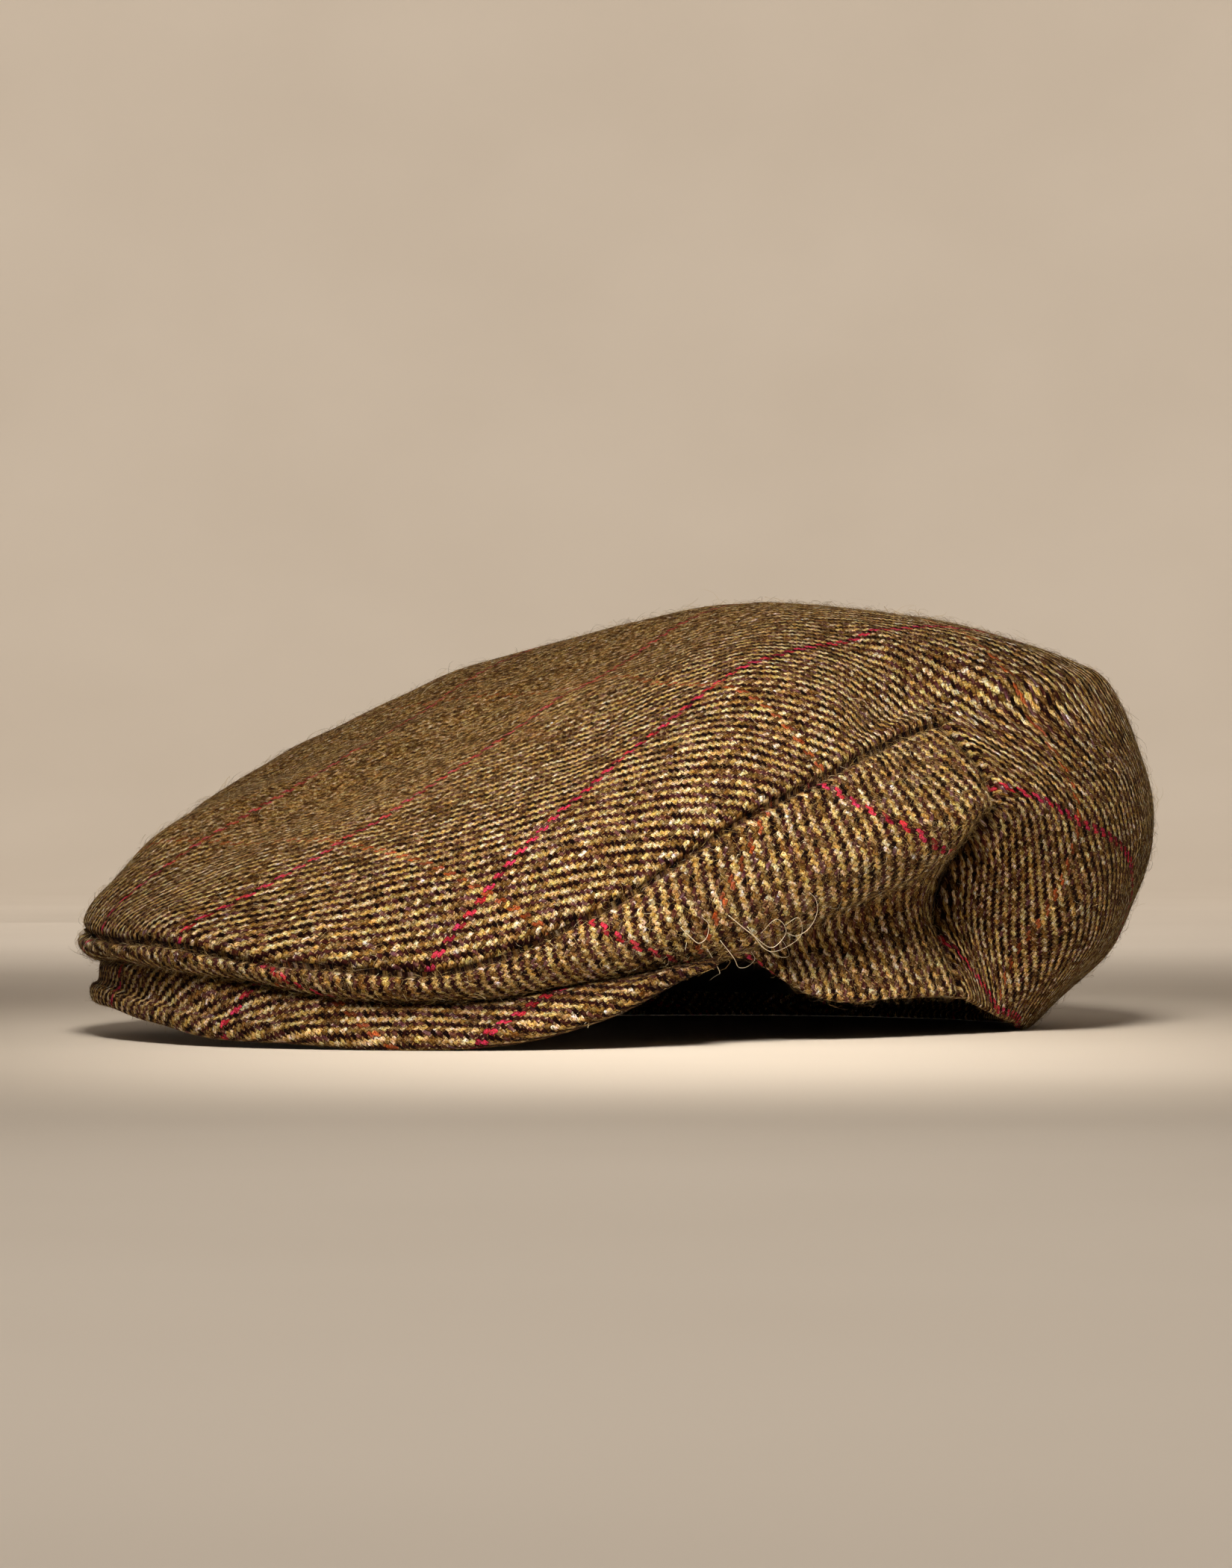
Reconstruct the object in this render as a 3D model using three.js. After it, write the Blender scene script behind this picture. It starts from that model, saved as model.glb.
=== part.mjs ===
// Flat cap of checked tweed: a top panel that runs on down the back, two side panels that narrow to a
// strip above the peak, a covered peak and a plain lining. The front of the cap points to -Y, the
// wearer's left is +X, and the cap rests on z = 0 on its peak and on the back of its rim.

import * as THREE from 'three';

// Driving dimensions, in millimetres and degrees
const AXIS_Y = 38.75; // upright axis that the crown's sections fan out from
const TOP_Z = 104.5;
const RIM = { halfWidth: 84, halfLength: 98, centreY: 8.75 }; // head opening, an ellipse seen from above
const CLOTH = 2; // tweed with its backing
const RIM_HEM = 2.6; // flat turned edge that the cap rests on
const SEAM_GAP = 0.4;
const PEAK_GAP = 0.4; // between the strip's underside and the peak
const LINING_CLOTH = 1;
const LINING_GAP = 0.8;
const LINING_EASE = 2.2; // further room under the dome
const HEM_ROOM = 1.2; // further room beside the hem
const TEMPLE = { angle: 55, reach: 12, room: 2 }; // the hem climbs here, so the lining stands further off
const LINING_START = 0.35; // level where the lining begins above the hem
const LINING_BELT_CLIMB = 10; // least height of the lining's belt above the rim
const LINING_BULGE = { outward: 0.75, upward: 0.5 }; // where the lining passes the bulge, from shoulder to belt
const REAR_SEAM = 90; // angle of the seam between side panel and back
const PEAK_END = 49.5; // angle where the peak runs out at the temple
const HEM_FLAT = { from: 70, to: 110 }; // angles over which the hem's edge turns flat to the ground
const SEAM_SIDE = 18; // degrees either side of the rear seam that are meshed more closely

// Crown sections, one row for each angle from the front (0) to the back (180). Each section climbs from
// the rim through the valley, the underside, the bulge (the strip's lip at the front) and the seam to
// the puffed edge, the shoulder and the upper dome. r is measured from the axis, z from the ground.
const SECTION_COLUMNS = [
  'angle', 'rimZ', 'valleyR', 'valleyZ', 'underR', 'underZ', 'bulgeR', 'bulgeZ', 'seamR', 'seamZ',
  'puffZ', 'shoulderZ', 'upperZ',
];
const SECTIONS = [
  [0, 30, 150, 23.5, 171, 17.6, 176.5, 20.4, 176, 23.5, 38, 57, 83],
  [16, 29, 145, 20, 165, 12.4, 169.5, 15.4, 169.5, 19, 38.5, 59, 84.5],
  [28, 27, 135, 18.5, 153, 10.6, 159, 14, 157.5, 18.4, 40, 64, 88],
  [39, 24, 124, 19.5, 139, 15.4, 145.5, 22, 142, 31, 51, 74, 93],
  [51, 21, 107, 20.5, 118, 21.8, 125.5, 33, 120.5, 50, 66, 85, 97],
  [64, 11.8, 90, 24, 103, 29, 112, 42, 100, 62.5, 74.5, 90.5, 100.3],
  [78, 11.5, 82, 31, 95, 36, 105.5, 50, 86, 72, 80, 94, 101.8],
  [90, 11.5, 76, 30, 92, 42, 103, 55, 83, 76, 83, 96, 102.3],
  [110, 4, 82, 14, 93, 27, 100.5, 52, 87, 81, 87.5, 97, 102.5],
  [135, 0, 80, 10, 92, 23, 100, 50, 89, 84, 90, 98, 102.8],
  [160, 0, 77, 9, 90, 22, 100.5, 50, 89, 84.5, 90.5, 98.5, 103],
  [180, 0, 76, 9, 90, 22, 101, 50, 89, 84.5, 90.5, 98.5, 103],
];
const DOME_SHARES = { puff: 0.9, shoulder: 0.65, upper: 0.33 }; // of the seam's radius

// The front stands higher and the crown fuller on the wearer's right, and the rim's side lies lower: rises
// there, one row for each angle from the front. The lift is for the peak and the section up to the seam.
const RISE_COLUMNS = ['angle', 'lift', 'rimZ', 'puffZ', 'shoulderZ', 'upperZ'];
const RIGHT_RISE = [
  [0, 0, 0, 0, 0, 0],
  [8, 2.4, 2.4, 3, 1.4, 0.5],
  [16, 5.8, 5, 7.5, 4, 1.5],
  [28, 9.6, 6.5, 10, 4.5, 1.8],
  [39, 10.8, 4, 9, 3.5, 1.2],
  [51, 9.4, -2, 5.5, 2, 0.6],
  [64, 6, -7.5, 3, 0.7, 0],
  [78, 3, -10.6, 1.5, 0.5, 0],
  [95, 0, -9.4, 0, 0, 0],
  [112, 0, -3.2, 0, 0, 0],
  [135, 0, -1, 0, 0, 0],
  [160, 0, -0.4, 0, 0, 0],
  [180, 0, 0, 0, 0, 0],
];
const LIFTED = ['valleyZ', 'underZ', 'bulgeZ', 'seamZ'];
const RISEN = ['rimZ', 'puffZ', 'shoulderZ', 'upperZ'];

// Levels along a section: 0 rim, 1 valley, 2 underside, 3 bulge, 4 seam, 5 puff, 6 shoulder, 7 upper, 8 top
const SEAM_LEVEL = 4;
const TOP_LEVEL = 8;
const LEVELS = [
  0, 0.33, 0.67, 1, 1.33, 1.67, 2, 2.33, 2.67, 3, 3.33, 3.67, 4, 4.33, 4.67, 5, 5.5, 6, 6.5, 7, 7.5, 8,
];
const LINING_LEVELS = [0, 0.8, 1.6, 2.4, 3.2, 4, 4.8, 5.6, 6.4, 7.2, 8];
const LINING_TOP = 5; // last of the lining's own knots

// The rear seam leans: degrees that it moves from REAR_SEAM at each level
const SEAM_LEAN = [
  { level: 0, lean: 2 },
  { level: 1, lean: 1.5 },
  { level: 2, lean: 0 },
  { level: 3, lean: -1 },
  { level: 4, lean: -4.5 },
  { level: 5, lean: -3 },
  { level: 6, lean: 0 },
  { level: 8, lean: 0 },
];
const LEAN_REACH = 24; // degrees either side of the seam that lean with it

// Folds: troughs (depth above 0) and ridges (below 0) along a line from one angle and level to another.
// A negative angle is on the wearer's right. Width and depth are in millimetres.
const FOLDS = [
  { name: 'rear tuck', from: [90, 1.1], to: [88, 2.9], width: 7, depth: 5 },
  { name: 'band valley', from: [58, 1.2], to: [84, 1.9], width: 9, depth: 3 },
  { name: 'dent above the seam end', from: [74, 4.7], to: [92, 5], width: 11, depth: 3.5 },
  { name: 'ridge behind the dent', from: [88, 5.6], to: [100, 4.6], width: 9, depth: -2 },
  { name: 'right rear tuck', from: [-91, 1.2], to: [-89, 2.6], width: 9, depth: 4.5 },
  { name: 'right band valley', from: [-60, 1.3], to: [-86, 1.8], width: 10, depth: 2.5 },
  { name: 'right dent', from: [-72, 4.6], to: [-90, 5], width: 13, depth: 2.5 },
];
const DEGREE_RUN = 1.75; // millimetres along the surface for one degree, near the folds
const LEVEL_RUN = 15; // millimetres along the surface for one level, near the folds

// Peak edge, one row for each angle from the front to the temple
const PEAK_COLUMNS = ['angle', 'edgeR', 'lowZ', 'thick'];
const PEAK_EDGE = [
  [0, 178.5, 7, 6],
  [8, 176.9, 4.9, 6],
  [16, 172.4, 1.9, 6],
  [22, 167, 0, 6],
  [28, 161, 0, 6],
  [34, 153.4, 2.2, 6],
  [40, 144.8, 7.3, 5.6],
  [46, 135.2, 14.8, 4.4],
  [51, 126.8, 19.3, 3],
];
// Round the peak's edge: how far each corner stands in and up, as shares of the thickness
const PEAK_ROUNDING = [
  { inset: 0.33, climb: 0.92 },
  { inset: 0.08, climb: 0.75 },
  { inset: 0, climb: 0.48 },
  { inset: 0.12, climb: 0.14 },
  { inset: 0.5, climb: 0 },
  { inset: 1, climb: 0 },
];

const radians = THREE.MathUtils.degToRad;

/** Slope of a smooth curve through three knots at the middle one. */
function middleSlope(before, at, after, key, position) {
  const left = at[position] - before[position];
  const right = after[position] - at[position];
  const leftSlope = (at[key] - before[key]) / left;
  const rightSlope = (after[key] - at[key]) / right;
  return (leftSlope * right + rightSlope * left) / (left + right);
}

/** Cubic through (0, a) and (1, b) with end slopes sa and sb over a step of the given length. */
function cubic(a, b, sa, sb, length, u) {
  const v = 1 - u;
  return (1 + 2 * u) * v * v * a + u * v * v * length * sa + u * u * (3 - 2 * u) * b - u * u * v * length * sb;
}

/** Named rows from a table, with mirrored rows added past both ends so that the curve stays smooth. */
function namedRows(columns, table, mirrorEnd) {
  const rows = table.map((line) => Object.fromEntries(columns.map((name, k) => [name, line[k]])));
  const last = rows.length - 1;
  const endAngle = 2 * rows[last].angle - rows[last - 1].angle;
  const pastEnd = mirrorEnd
    ? { ...rows[last - 1], angle: endAngle }
    : Object.fromEntries(columns.map((name) => [name, 2 * rows[last][name] - rows[last - 1][name]]));
  return [{ ...rows[1], angle: -rows[1].angle }, ...rows, pastEnd];
}

const SECTION_ROWS = namedRows(SECTION_COLUMNS, SECTIONS, true);
const RISE_ROWS = namedRows(RISE_COLUMNS, RIGHT_RISE, true);
const PEAK_ROWS = namedRows(PEAK_COLUMNS, PEAK_EDGE, false);

/** Angle brought between -180 and 180. */
function signed(angle) {
  return ((((angle + 180) % 360) + 360) % 360) - 180;
}

/** Every column of a table at one angle, by a smooth curve through its rows. */
function rowAt(rows, columns, angle) {
  const wrapped = Math.abs(signed(angle));
  let k = 1;
  while (k < rows.length - 3 && rows[k + 1].angle <= wrapped) k += 1;
  const [before, at, next, after] = rows.slice(k - 1, k + 3);
  const length = next.angle - at.angle;
  const u = (wrapped - at.angle) / length;
  const row = {};
  for (const name of columns) {
    const startSlope = middleSlope(before, at, next, name, 'angle');
    const endSlope = middleSlope(at, next, after, name, 'angle');
    row[name] = cubic(at[name], next[name], startSlope, endSlope, length, u);
  }
  return row;
}

/** Distance from the axis to the rim's ellipse at one angle. */
function rimRadius(angle) {
  const ahead = -Math.cos(radians(angle));
  const across = Math.sin(radians(angle));
  const offset = AXIS_Y - RIM.centreY;
  const a = (across / RIM.halfWidth) ** 2 + (ahead / RIM.halfLength) ** 2;
  const b = (2 * offset * ahead) / RIM.halfLength ** 2;
  const c = (offset / RIM.halfLength) ** 2 - 1;
  return (-b + Math.sqrt(b * b - 4 * a * c)) / (2 * a);
}

/** Rises on the wearer's right at one angle; none on the left. */
function riseAt(angle) {
  const rise = rowAt(RISE_ROWS, RISE_COLUMNS, angle);
  const share = signed(angle) < 0 ? 1 : 0;
  return Object.fromEntries(RISE_COLUMNS.map((name) => [name, share * rise[name]]));
}

/** Knots of the crown's section at one angle, from the rim to the top. */
function crownKnots(angle) {
  const row = rowAt(SECTION_ROWS, SECTION_COLUMNS, angle);
  const rise = riseAt(angle);
  for (const name of LIFTED) row[name] += rise.lift;
  for (const name of RISEN) row[name] += rise[name];
  return [
    { r: rimRadius(angle), z: Math.max(row.rimZ, 0) },
    { r: row.valleyR, z: row.valleyZ },
    { r: row.underR, z: row.underZ },
    { r: row.bulgeR, z: row.bulgeZ },
    { r: row.seamR, z: row.seamZ },
    { r: row.seamR * DOME_SHARES.puff, z: row.puffZ },
    { r: row.seamR * DOME_SHARES.shoulder, z: row.shoulderZ },
    { r: row.seamR * DOME_SHARES.upper, z: row.upperZ },
    { r: 0, z: TOP_Z },
  ];
}

/** Point on a smooth curve through knots; steps grow with the root of the distance between knots. */
function alongKnots(knots, level) {
  const last = knots.length - 1;
  const padded = [
    { r: 2 * knots[0].r - knots[1].r, z: 2 * knots[0].z - knots[1].z },
    ...knots,
    { r: -knots[last - 1].r, z: knots[last - 1].z },
  ];
  let position = 0;
  const placed = padded.map((knot, k) => {
    if (k > 0) position += Math.sqrt(Math.hypot(knot.r - padded[k - 1].r, knot.z - padded[k - 1].z));
    return { ...knot, position };
  });
  const k = Math.min(Math.floor(level), last - 1) + 1;
  const [before, at, next, after] = placed.slice(k - 1, k + 3);
  const length = next.position - at.position;
  const u = level - (k - 1);
  const value = (key) => {
    const startSlope = middleSlope(before, at, next, key, 'position');
    const endSlope = middleSlope(at, next, after, key, 'position');
    return cubic(at[key], next[key], startSlope, endSlope, length, u);
  };
  return { r: value('r'), z: value('z') };
}

/** Point in space at an angle, a distance from the axis and a height. */
function place(angle, r, z) {
  return new THREE.Vector3(r * Math.sin(radians(angle)), AXIS_Y - r * Math.cos(radians(angle)), z);
}

/** How far the folds press the cloth in at an angle and level. */
function foldDepth(angle, level) {
  const at = signed(angle);
  let depth = 0;
  for (const fold of FOLDS) {
    const alongX = (fold.to[0] - fold.from[0]) * DEGREE_RUN;
    const alongY = (fold.to[1] - fold.from[1]) * LEVEL_RUN;
    const x = (at - fold.from[0]) * DEGREE_RUN;
    const y = (level - fold.from[1]) * LEVEL_RUN;
    const share = (x * alongX + y * alongY) / (alongX ** 2 + alongY ** 2);
    const nearest = THREE.MathUtils.clamp(share, 0, 1);
    const away = Math.hypot(x - nearest * alongX, y - nearest * alongY);
    depth += fold.depth * Math.exp(-((away / fold.width) ** 2));
  }
  return depth;
}

/** Outward direction of a surface at an angle and level. */
function outward(surface, angle, level) {
  if (level >= TOP_LEVEL) return new THREE.Vector3(0, 0, 1);
  const step = 0.02;
  const low = Math.max(level - step, 0);
  const around = surface(angle + step * 10, level).sub(surface(angle - step * 10, level));
  const up = surface(angle, level + step).sub(surface(angle, low));
  return around.cross(up).normalize();
}

/** Crown before its folds. */
function smoothCrown(angle, level) {
  const { r, z } = alongKnots(crownKnots(angle), Math.min(level, TOP_LEVEL));
  return place(angle, r, z);
}

/** Crown with its folds pressed in along the outward direction. */
function crown(angle, level) {
  const point = smoothCrown(angle, level);
  const depth = foldDepth(angle, level);
  if (Math.abs(depth) < 0.01 || level <= 0 || level >= TOP_LEVEL) return point;
  return point.addScaledVector(outward(smoothCrown, angle, level), -depth);
}

/** Distance from the axis and height of a crown point moved along the outward direction. */
function offCrown(angle, level, distance) {
  const point = smoothCrown(angle, level).addScaledVector(outward(smoothCrown, angle, level), distance);
  return { r: Math.hypot(point.x, point.y - AXIS_Y), z: point.z };
}

/** Knots of the lining: up from the hem, straight past the front pocket and the bulge, then the dome. */
function liningKnots(angle) {
  const [rim, valley] = crownKnots(angle);
  const clear = CLOTH + LINING_GAP;
  const foldRoom = Math.max(0, ...[0.5, 1, 1.5, 2].map((level) => foldDepth(angle, level)));
  const beltZ = Math.max(valley.z, rim.z + LINING_BELT_CLIMB);
  const belt = { r: Math.min(rim.r, valley.r) - clear - foldRoom, z: beltZ };
  const temple = TEMPLE.room * Math.exp(-(((Math.abs(angle) - TEMPLE.angle) / TEMPLE.reach) ** 2));
  const shoulder = offCrown(angle, 6, -clear - 3 * LINING_EASE);
  return [
    offCrown(angle, LINING_START, -clear - HEM_ROOM - temple),
    belt,
    {
      r: THREE.MathUtils.lerp(shoulder.r, belt.r, LINING_BULGE.outward),
      z: THREE.MathUtils.lerp(shoulder.z, belt.z, LINING_BULGE.upward),
    },
    shoulder,
    offCrown(angle, 7, -clear - LINING_EASE),
    { r: 0, z: TOP_Z - clear - LINING_EASE },
  ];
}

/** Angles once round the cap, closer together beside the rear seams. */
function ringAngles(frontSteps, seamSteps, backSteps) {
  const spaced = (from, to, steps) => Array.from({ length: steps }, (_, k) => from + ((to - from) * k) / steps);
  const half = [
    ...spaced(0, REAR_SEAM - SEAM_SIDE, frontSteps),
    ...spaced(REAR_SEAM - SEAM_SIDE, REAR_SEAM + SEAM_SIDE, 2 * seamSteps),
    ...spaced(REAR_SEAM + SEAM_SIDE, 180, backSteps),
  ];
  return [...half, 180, ...half.slice(1).reverse().map((angle) => 360 - angle)];
}

/** Angle moved with the lean of the rear seam. */
function leaned(angle, level) {
  const away = (Math.abs(angle) - REAR_SEAM) / LEAN_REACH;
  if (Math.abs(away) >= 1) return angle;
  const k = Math.max(SEAM_LEAN.findLastIndex((row) => row.level <= level), 0);
  const [low, high] = [SEAM_LEAN[k], SEAM_LEAN[Math.min(k + 1, SEAM_LEAN.length - 1)]];
  const share = high.level > low.level ? (level - low.level) / (high.level - low.level) : 0;
  const lean = THREE.MathUtils.lerp(low.lean, high.lean, share);
  return angle + Math.sign(angle) * lean * (1 - away * away) ** 2;
}

/** Body from corner points and triangles, its corners numbered from 0. */
function body(name, points, triangles, material) {
  const geometry = new THREE.BufferGeometry().setFromPoints(points);
  geometry.setIndex(triangles.flat());
  geometry.computeVertexNormals();
  const mesh = new THREE.Mesh(geometry, material);
  mesh.name = name;
  return mesh;
}

/** Closed wall over the chosen cells of a ring: outer face, inner face and the edges between them. */
function closedWall({ name, angles, levels, hasCell, outer, inner, material }) {
  const points = [];
  const numbers = new Map();
  const numberOf = (column, row, face) => {
    const top = levels[row] >= TOP_LEVEL;
    const key = `${top ? 0 : column % angles.length} ${row} ${face}`;
    if (!numbers.has(key)) {
      numbers.set(key, points.length);
      const place = face === 'outer' ? outer : inner;
      points.push(place(signed(angles[column % angles.length]), levels[row]));
    }
    return numbers.get(key);
  };
  const outerTriangles = [];
  const partner = new Map();
  for (let column = 0; column < angles.length; column += 1) {
    for (let row = 0; row + 1 < levels.length; row += 1) {
      const middle = 0.5 * (angles[column] + (angles[column + 1] ?? 360));
      if (!hasCell(signed(middle), 0.5 * (levels[row] + levels[row + 1]))) continue;
      const corners = [[column, row], [column + 1, row], [column + 1, row + 1], [column, row + 1]];
      const quad = corners.map(([c, r]) => numberOf(c, r, 'outer'));
      corners.forEach(([c, r], k) => partner.set(quad[k], numberOf(c, r, 'inner')));
      outerTriangles.push([quad[0], quad[1], quad[2]]);
      if (quad[2] !== quad[3]) outerTriangles.push([quad[0], quad[2], quad[3]]);
    }
  }
  const triangles = [...outerTriangles];
  const edges = new Set();
  for (const [a, b, c] of outerTriangles) {
    triangles.push([partner.get(a), partner.get(c), partner.get(b)]);
    [[a, b], [b, c], [c, a]].forEach(([from, to]) => edges.add(`${from} ${to}`));
  }
  for (const edge of edges) {
    const [from, to] = edge.split(' ').map(Number);
    if (edges.has(`${to} ${from}`)) continue;
    triangles.push([to, from, partner.get(from)], [to, partner.get(from), partner.get(to)]);
  }
  return body(name, points, triangles, material);
}

/** Inner side of the crown's cloth; at the back the hem's edge lies flat. */
function crownInner(angle, level) {
  const point = crown(angle, level);
  const through = point.clone().addScaledVector(outward(crown, angle, level), -CLOTH);
  if (level > 0) return through;
  const flat = THREE.MathUtils.smoothstep(Math.abs(angle), HEM_FLAT.from, HEM_FLAT.to);
  const inward = place(angle, 1, 0).sub(place(angle, 0, 0)).multiplyScalar(-RIM_HEM);
  return through.lerp(point.clone().add(inward), flat);
}

/** Closed cloth panel of the crown; its seam edges stop half a seam gap short. */
function crownPanel(name, hasCell, nudge, material) {
  const shifted = (surface) => (angle, level) => {
    const [sideways, upward] = nudge(angle, level);
    const at = leaned(angle, level);
    const { r } = alongKnots(crownKnots(at), level);
    const run = smoothCrown(at, Math.min(level + 0.05, TOP_LEVEL)).distanceTo(smoothCrown(at, level)) / 0.05;
    const turn = r > 1 ? THREE.MathUtils.radToDeg((sideways * 0.5 * SEAM_GAP) / r) : 0;
    const lift = upward ? (upward * 0.5 * SEAM_GAP) / run : 0;
    return surface(at + turn, level + lift);
  };
  return closedWall({
    name, angles: CROWN_ANGLES, levels: LEVELS, hasCell, outer: shifted(crown), inner: shifted(crownInner), material,
  });
}

/** Closed section of the peak at one angle: along its top, round its edge and back underneath. */
function peakSection(angle) {
  const row = rowAt(PEAK_ROWS, PEAK_COLUMNS, angle);
  const low = Math.max(row.lowZ, 0) + riseAt(angle).lift;
  const top = LEVELS.filter((level) => level <= 2).map((level) => offCrown(angle, level, PEAK_GAP));
  const edge = PEAK_ROUNDING.map(({ inset, climb }) => ({
    r: row.edgeR - inset * row.thick,
    z: low + climb * row.thick,
  }));
  const innermost = top[0];
  const last = edge[edge.length - 1];
  const under = [top[4], top[2], top[0]].map((above) => {
    const share = (last.r - above.r) / (last.r - innermost.r);
    const straight = THREE.MathUtils.lerp(last.z, innermost.z - row.thick, share);
    return { r: above.r, z: 0.5 * (straight + above.z - row.thick) };
  });
  return [...top, ...edge, ...under];
}

/** Triangles over one end of the peak, turned to face along the sections or against them. */
function endFace(section, firstNumber, clockwise) {
  const outline = section.map(({ r, z }) => new THREE.Vector2(r, z));
  return THREE.ShapeUtils.triangulateShape(outline, []).map((corners) => {
    const turnsClockwise = THREE.ShapeUtils.isClockWise(corners.map((k) => outline[k]));
    const ordered = turnsClockwise === clockwise ? corners : [...corners].reverse();
    return ordered.map((k) => firstNumber + k);
  });
}

/** Peak lofted through its sections, with both ends closed. */
function peakBody(name, material) {
  const angles = CROWN_ANGLES.map(signed).filter((angle) => Math.abs(angle) < PEAK_END);
  const stations = [-PEAK_END, ...angles.sort((a, b) => a - b), PEAK_END];
  const sections = stations.map(peakSection);
  const count = sections[0].length;
  const points = sections.flatMap((section, k) => section.map(({ r, z }) => place(stations[k], r, z)));
  const triangles = [];
  for (let k = 0; k + 1 < sections.length; k += 1) {
    for (let m = 0; m < count; m += 1) {
      const [a, b] = [k * count + m, k * count + ((m + 1) % count)];
      triangles.push([a, b, b + count], [a, b + count, a + count]);
    }
  }
  const first = endFace(sections[0], 0, false);
  const final = endFace(sections.at(-1), (sections.length - 1) * count, true);
  triangles.push(...first, ...final);
  return body(name, points, triangles, material);
}

/** Closed lining on a coarser ring. */
function liningBody(name, material) {
  const surface = (angle, level) => {
    const { r, z } = alongKnots(liningKnots(angle), Math.min(level, LINING_TOP));
    return place(angle, r, z);
  };
  const scaled = (level) => (level * LINING_TOP) / TOP_LEVEL;
  const outer = (angle, level) => surface(angle, scaled(level));
  const inner = (angle, level) => outer(angle, level).addScaledVector(outward(outer, angle, level), -LINING_CLOTH);
  return closedWall({
    name, angles: LINING_ANGLES, levels: LINING_LEVELS, hasCell: () => true, outer, inner, material,
  });
}

const CROWN_ANGLES = ringAngles(16, 6, 12);
const LINING_ANGLES = ringAngles(16, 3, 6);

const tweed = () => new THREE.MeshStandardMaterial({ color: '#6e5e33', roughness: 0.95, metalness: 0 });
const satin = () => new THREE.MeshStandardMaterial({ color: '#2a2026', roughness: 0.45, metalness: 0 });

const inSide = (angle, level) => Math.abs(angle) < REAR_SEAM && level < SEAM_LEVEL;

/** Which way a side panel's edge corners move: away from the seam above, behind and in front. */
function sideNudge(side) {
  return (angle, level) => {
    const behind = Math.abs(angle) === REAR_SEAM;
    const before = angle === 0;
    return [side * (before ? 1 : behind ? -1 : 0), level === SEAM_LEVEL ? -1 : 0];
  };
}

/** Which way the top panel's edge corners move: up from the seam, and back from the rear seam. */
function topNudge(angle, level) {
  const behind = Math.abs(angle) === REAR_SEAM && level <= SEAM_LEVEL;
  const above = Math.abs(angle) <= REAR_SEAM && level === SEAM_LEVEL;
  return [behind ? Math.sign(angle) : 0, above ? 1 : 0];
}

const cap = new THREE.Group();
cap.name = 'flat_cap';
cap.add(
  crownPanel('crown_top', (angle, level) => !inSide(angle, level), topNudge, tweed()),
  crownPanel('crown_side_left', (angle, level) => inSide(angle, level) && angle > 0, sideNudge(1), tweed()),
  crownPanel('crown_side_right', (angle, level) => inSide(angle, level) && angle < 0, sideNudge(-1), tweed()),
  peakBody('peak', tweed()),
  liningBody('lining', satin()),
);

export default cap;
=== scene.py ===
import math

import bpy
import numpy as np
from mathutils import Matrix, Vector


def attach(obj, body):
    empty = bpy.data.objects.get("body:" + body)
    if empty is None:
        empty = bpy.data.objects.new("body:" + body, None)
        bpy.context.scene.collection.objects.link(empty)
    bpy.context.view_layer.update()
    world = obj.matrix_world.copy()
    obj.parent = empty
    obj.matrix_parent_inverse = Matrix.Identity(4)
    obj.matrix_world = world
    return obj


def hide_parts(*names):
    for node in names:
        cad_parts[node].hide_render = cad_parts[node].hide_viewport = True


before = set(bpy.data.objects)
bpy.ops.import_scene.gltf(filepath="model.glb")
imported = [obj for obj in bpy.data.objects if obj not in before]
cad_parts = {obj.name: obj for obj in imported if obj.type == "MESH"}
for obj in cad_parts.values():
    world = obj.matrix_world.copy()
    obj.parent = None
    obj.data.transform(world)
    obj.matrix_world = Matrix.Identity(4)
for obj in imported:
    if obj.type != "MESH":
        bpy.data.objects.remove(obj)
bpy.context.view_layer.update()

# Metres in a millimetre
MM = 0.001
# Measures of the cap, in millimetres and degrees, the same as the solids
AXIS_Y = 38.75
TOP_Z = 104.5
RIM_HALF_WIDTH = 84.0
RIM_HALF_LENGTH = 98.0
RIM_CENTRE_Y = 8.75
PEAK_GAP = 0.4
REAR_SEAM = 90.0
PEAK_END = 49.5
SEAM_LEVEL = 4.0
TOP_LEVEL = 8.0
# Measures of the cloth: thickness, how far the rim settles, radius and rows of the rolled hem, and the lowest
# heights of a hem and of the rest over the ground
CLOTH = 1.7
SETTLE = 0.8
HEM_ROLL = 1.2
HEM_ROWS = 5
HEM_LOWEST = 0.05
LOWEST = 0.02
# Openings of the seams: millimetres back from the seam, degrees back from the centre front, millimetres to a
# level above and below the long seam, and millimetres to a degree at the rear seam
SEAM_OPENING = 0.12
FRONT_OPENING = 0.06
ABOVE_SEAM_RUN = 25.0
BELOW_SEAM_RUN = 12.0
REAR_SEAM_RUN = 1.6
# Small steps in angle and level for slopes, the highest level where they are taken, and the level from which
# the top counts as flat
ANGLE_STEP = 0.2
LEVEL_STEP = 0.02
SEAM_STEP = 0.05
SAFE_TOP = TOP_LEVEL - 0.03
FLAT_TOP = TOP_LEVEL - 0.02

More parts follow.
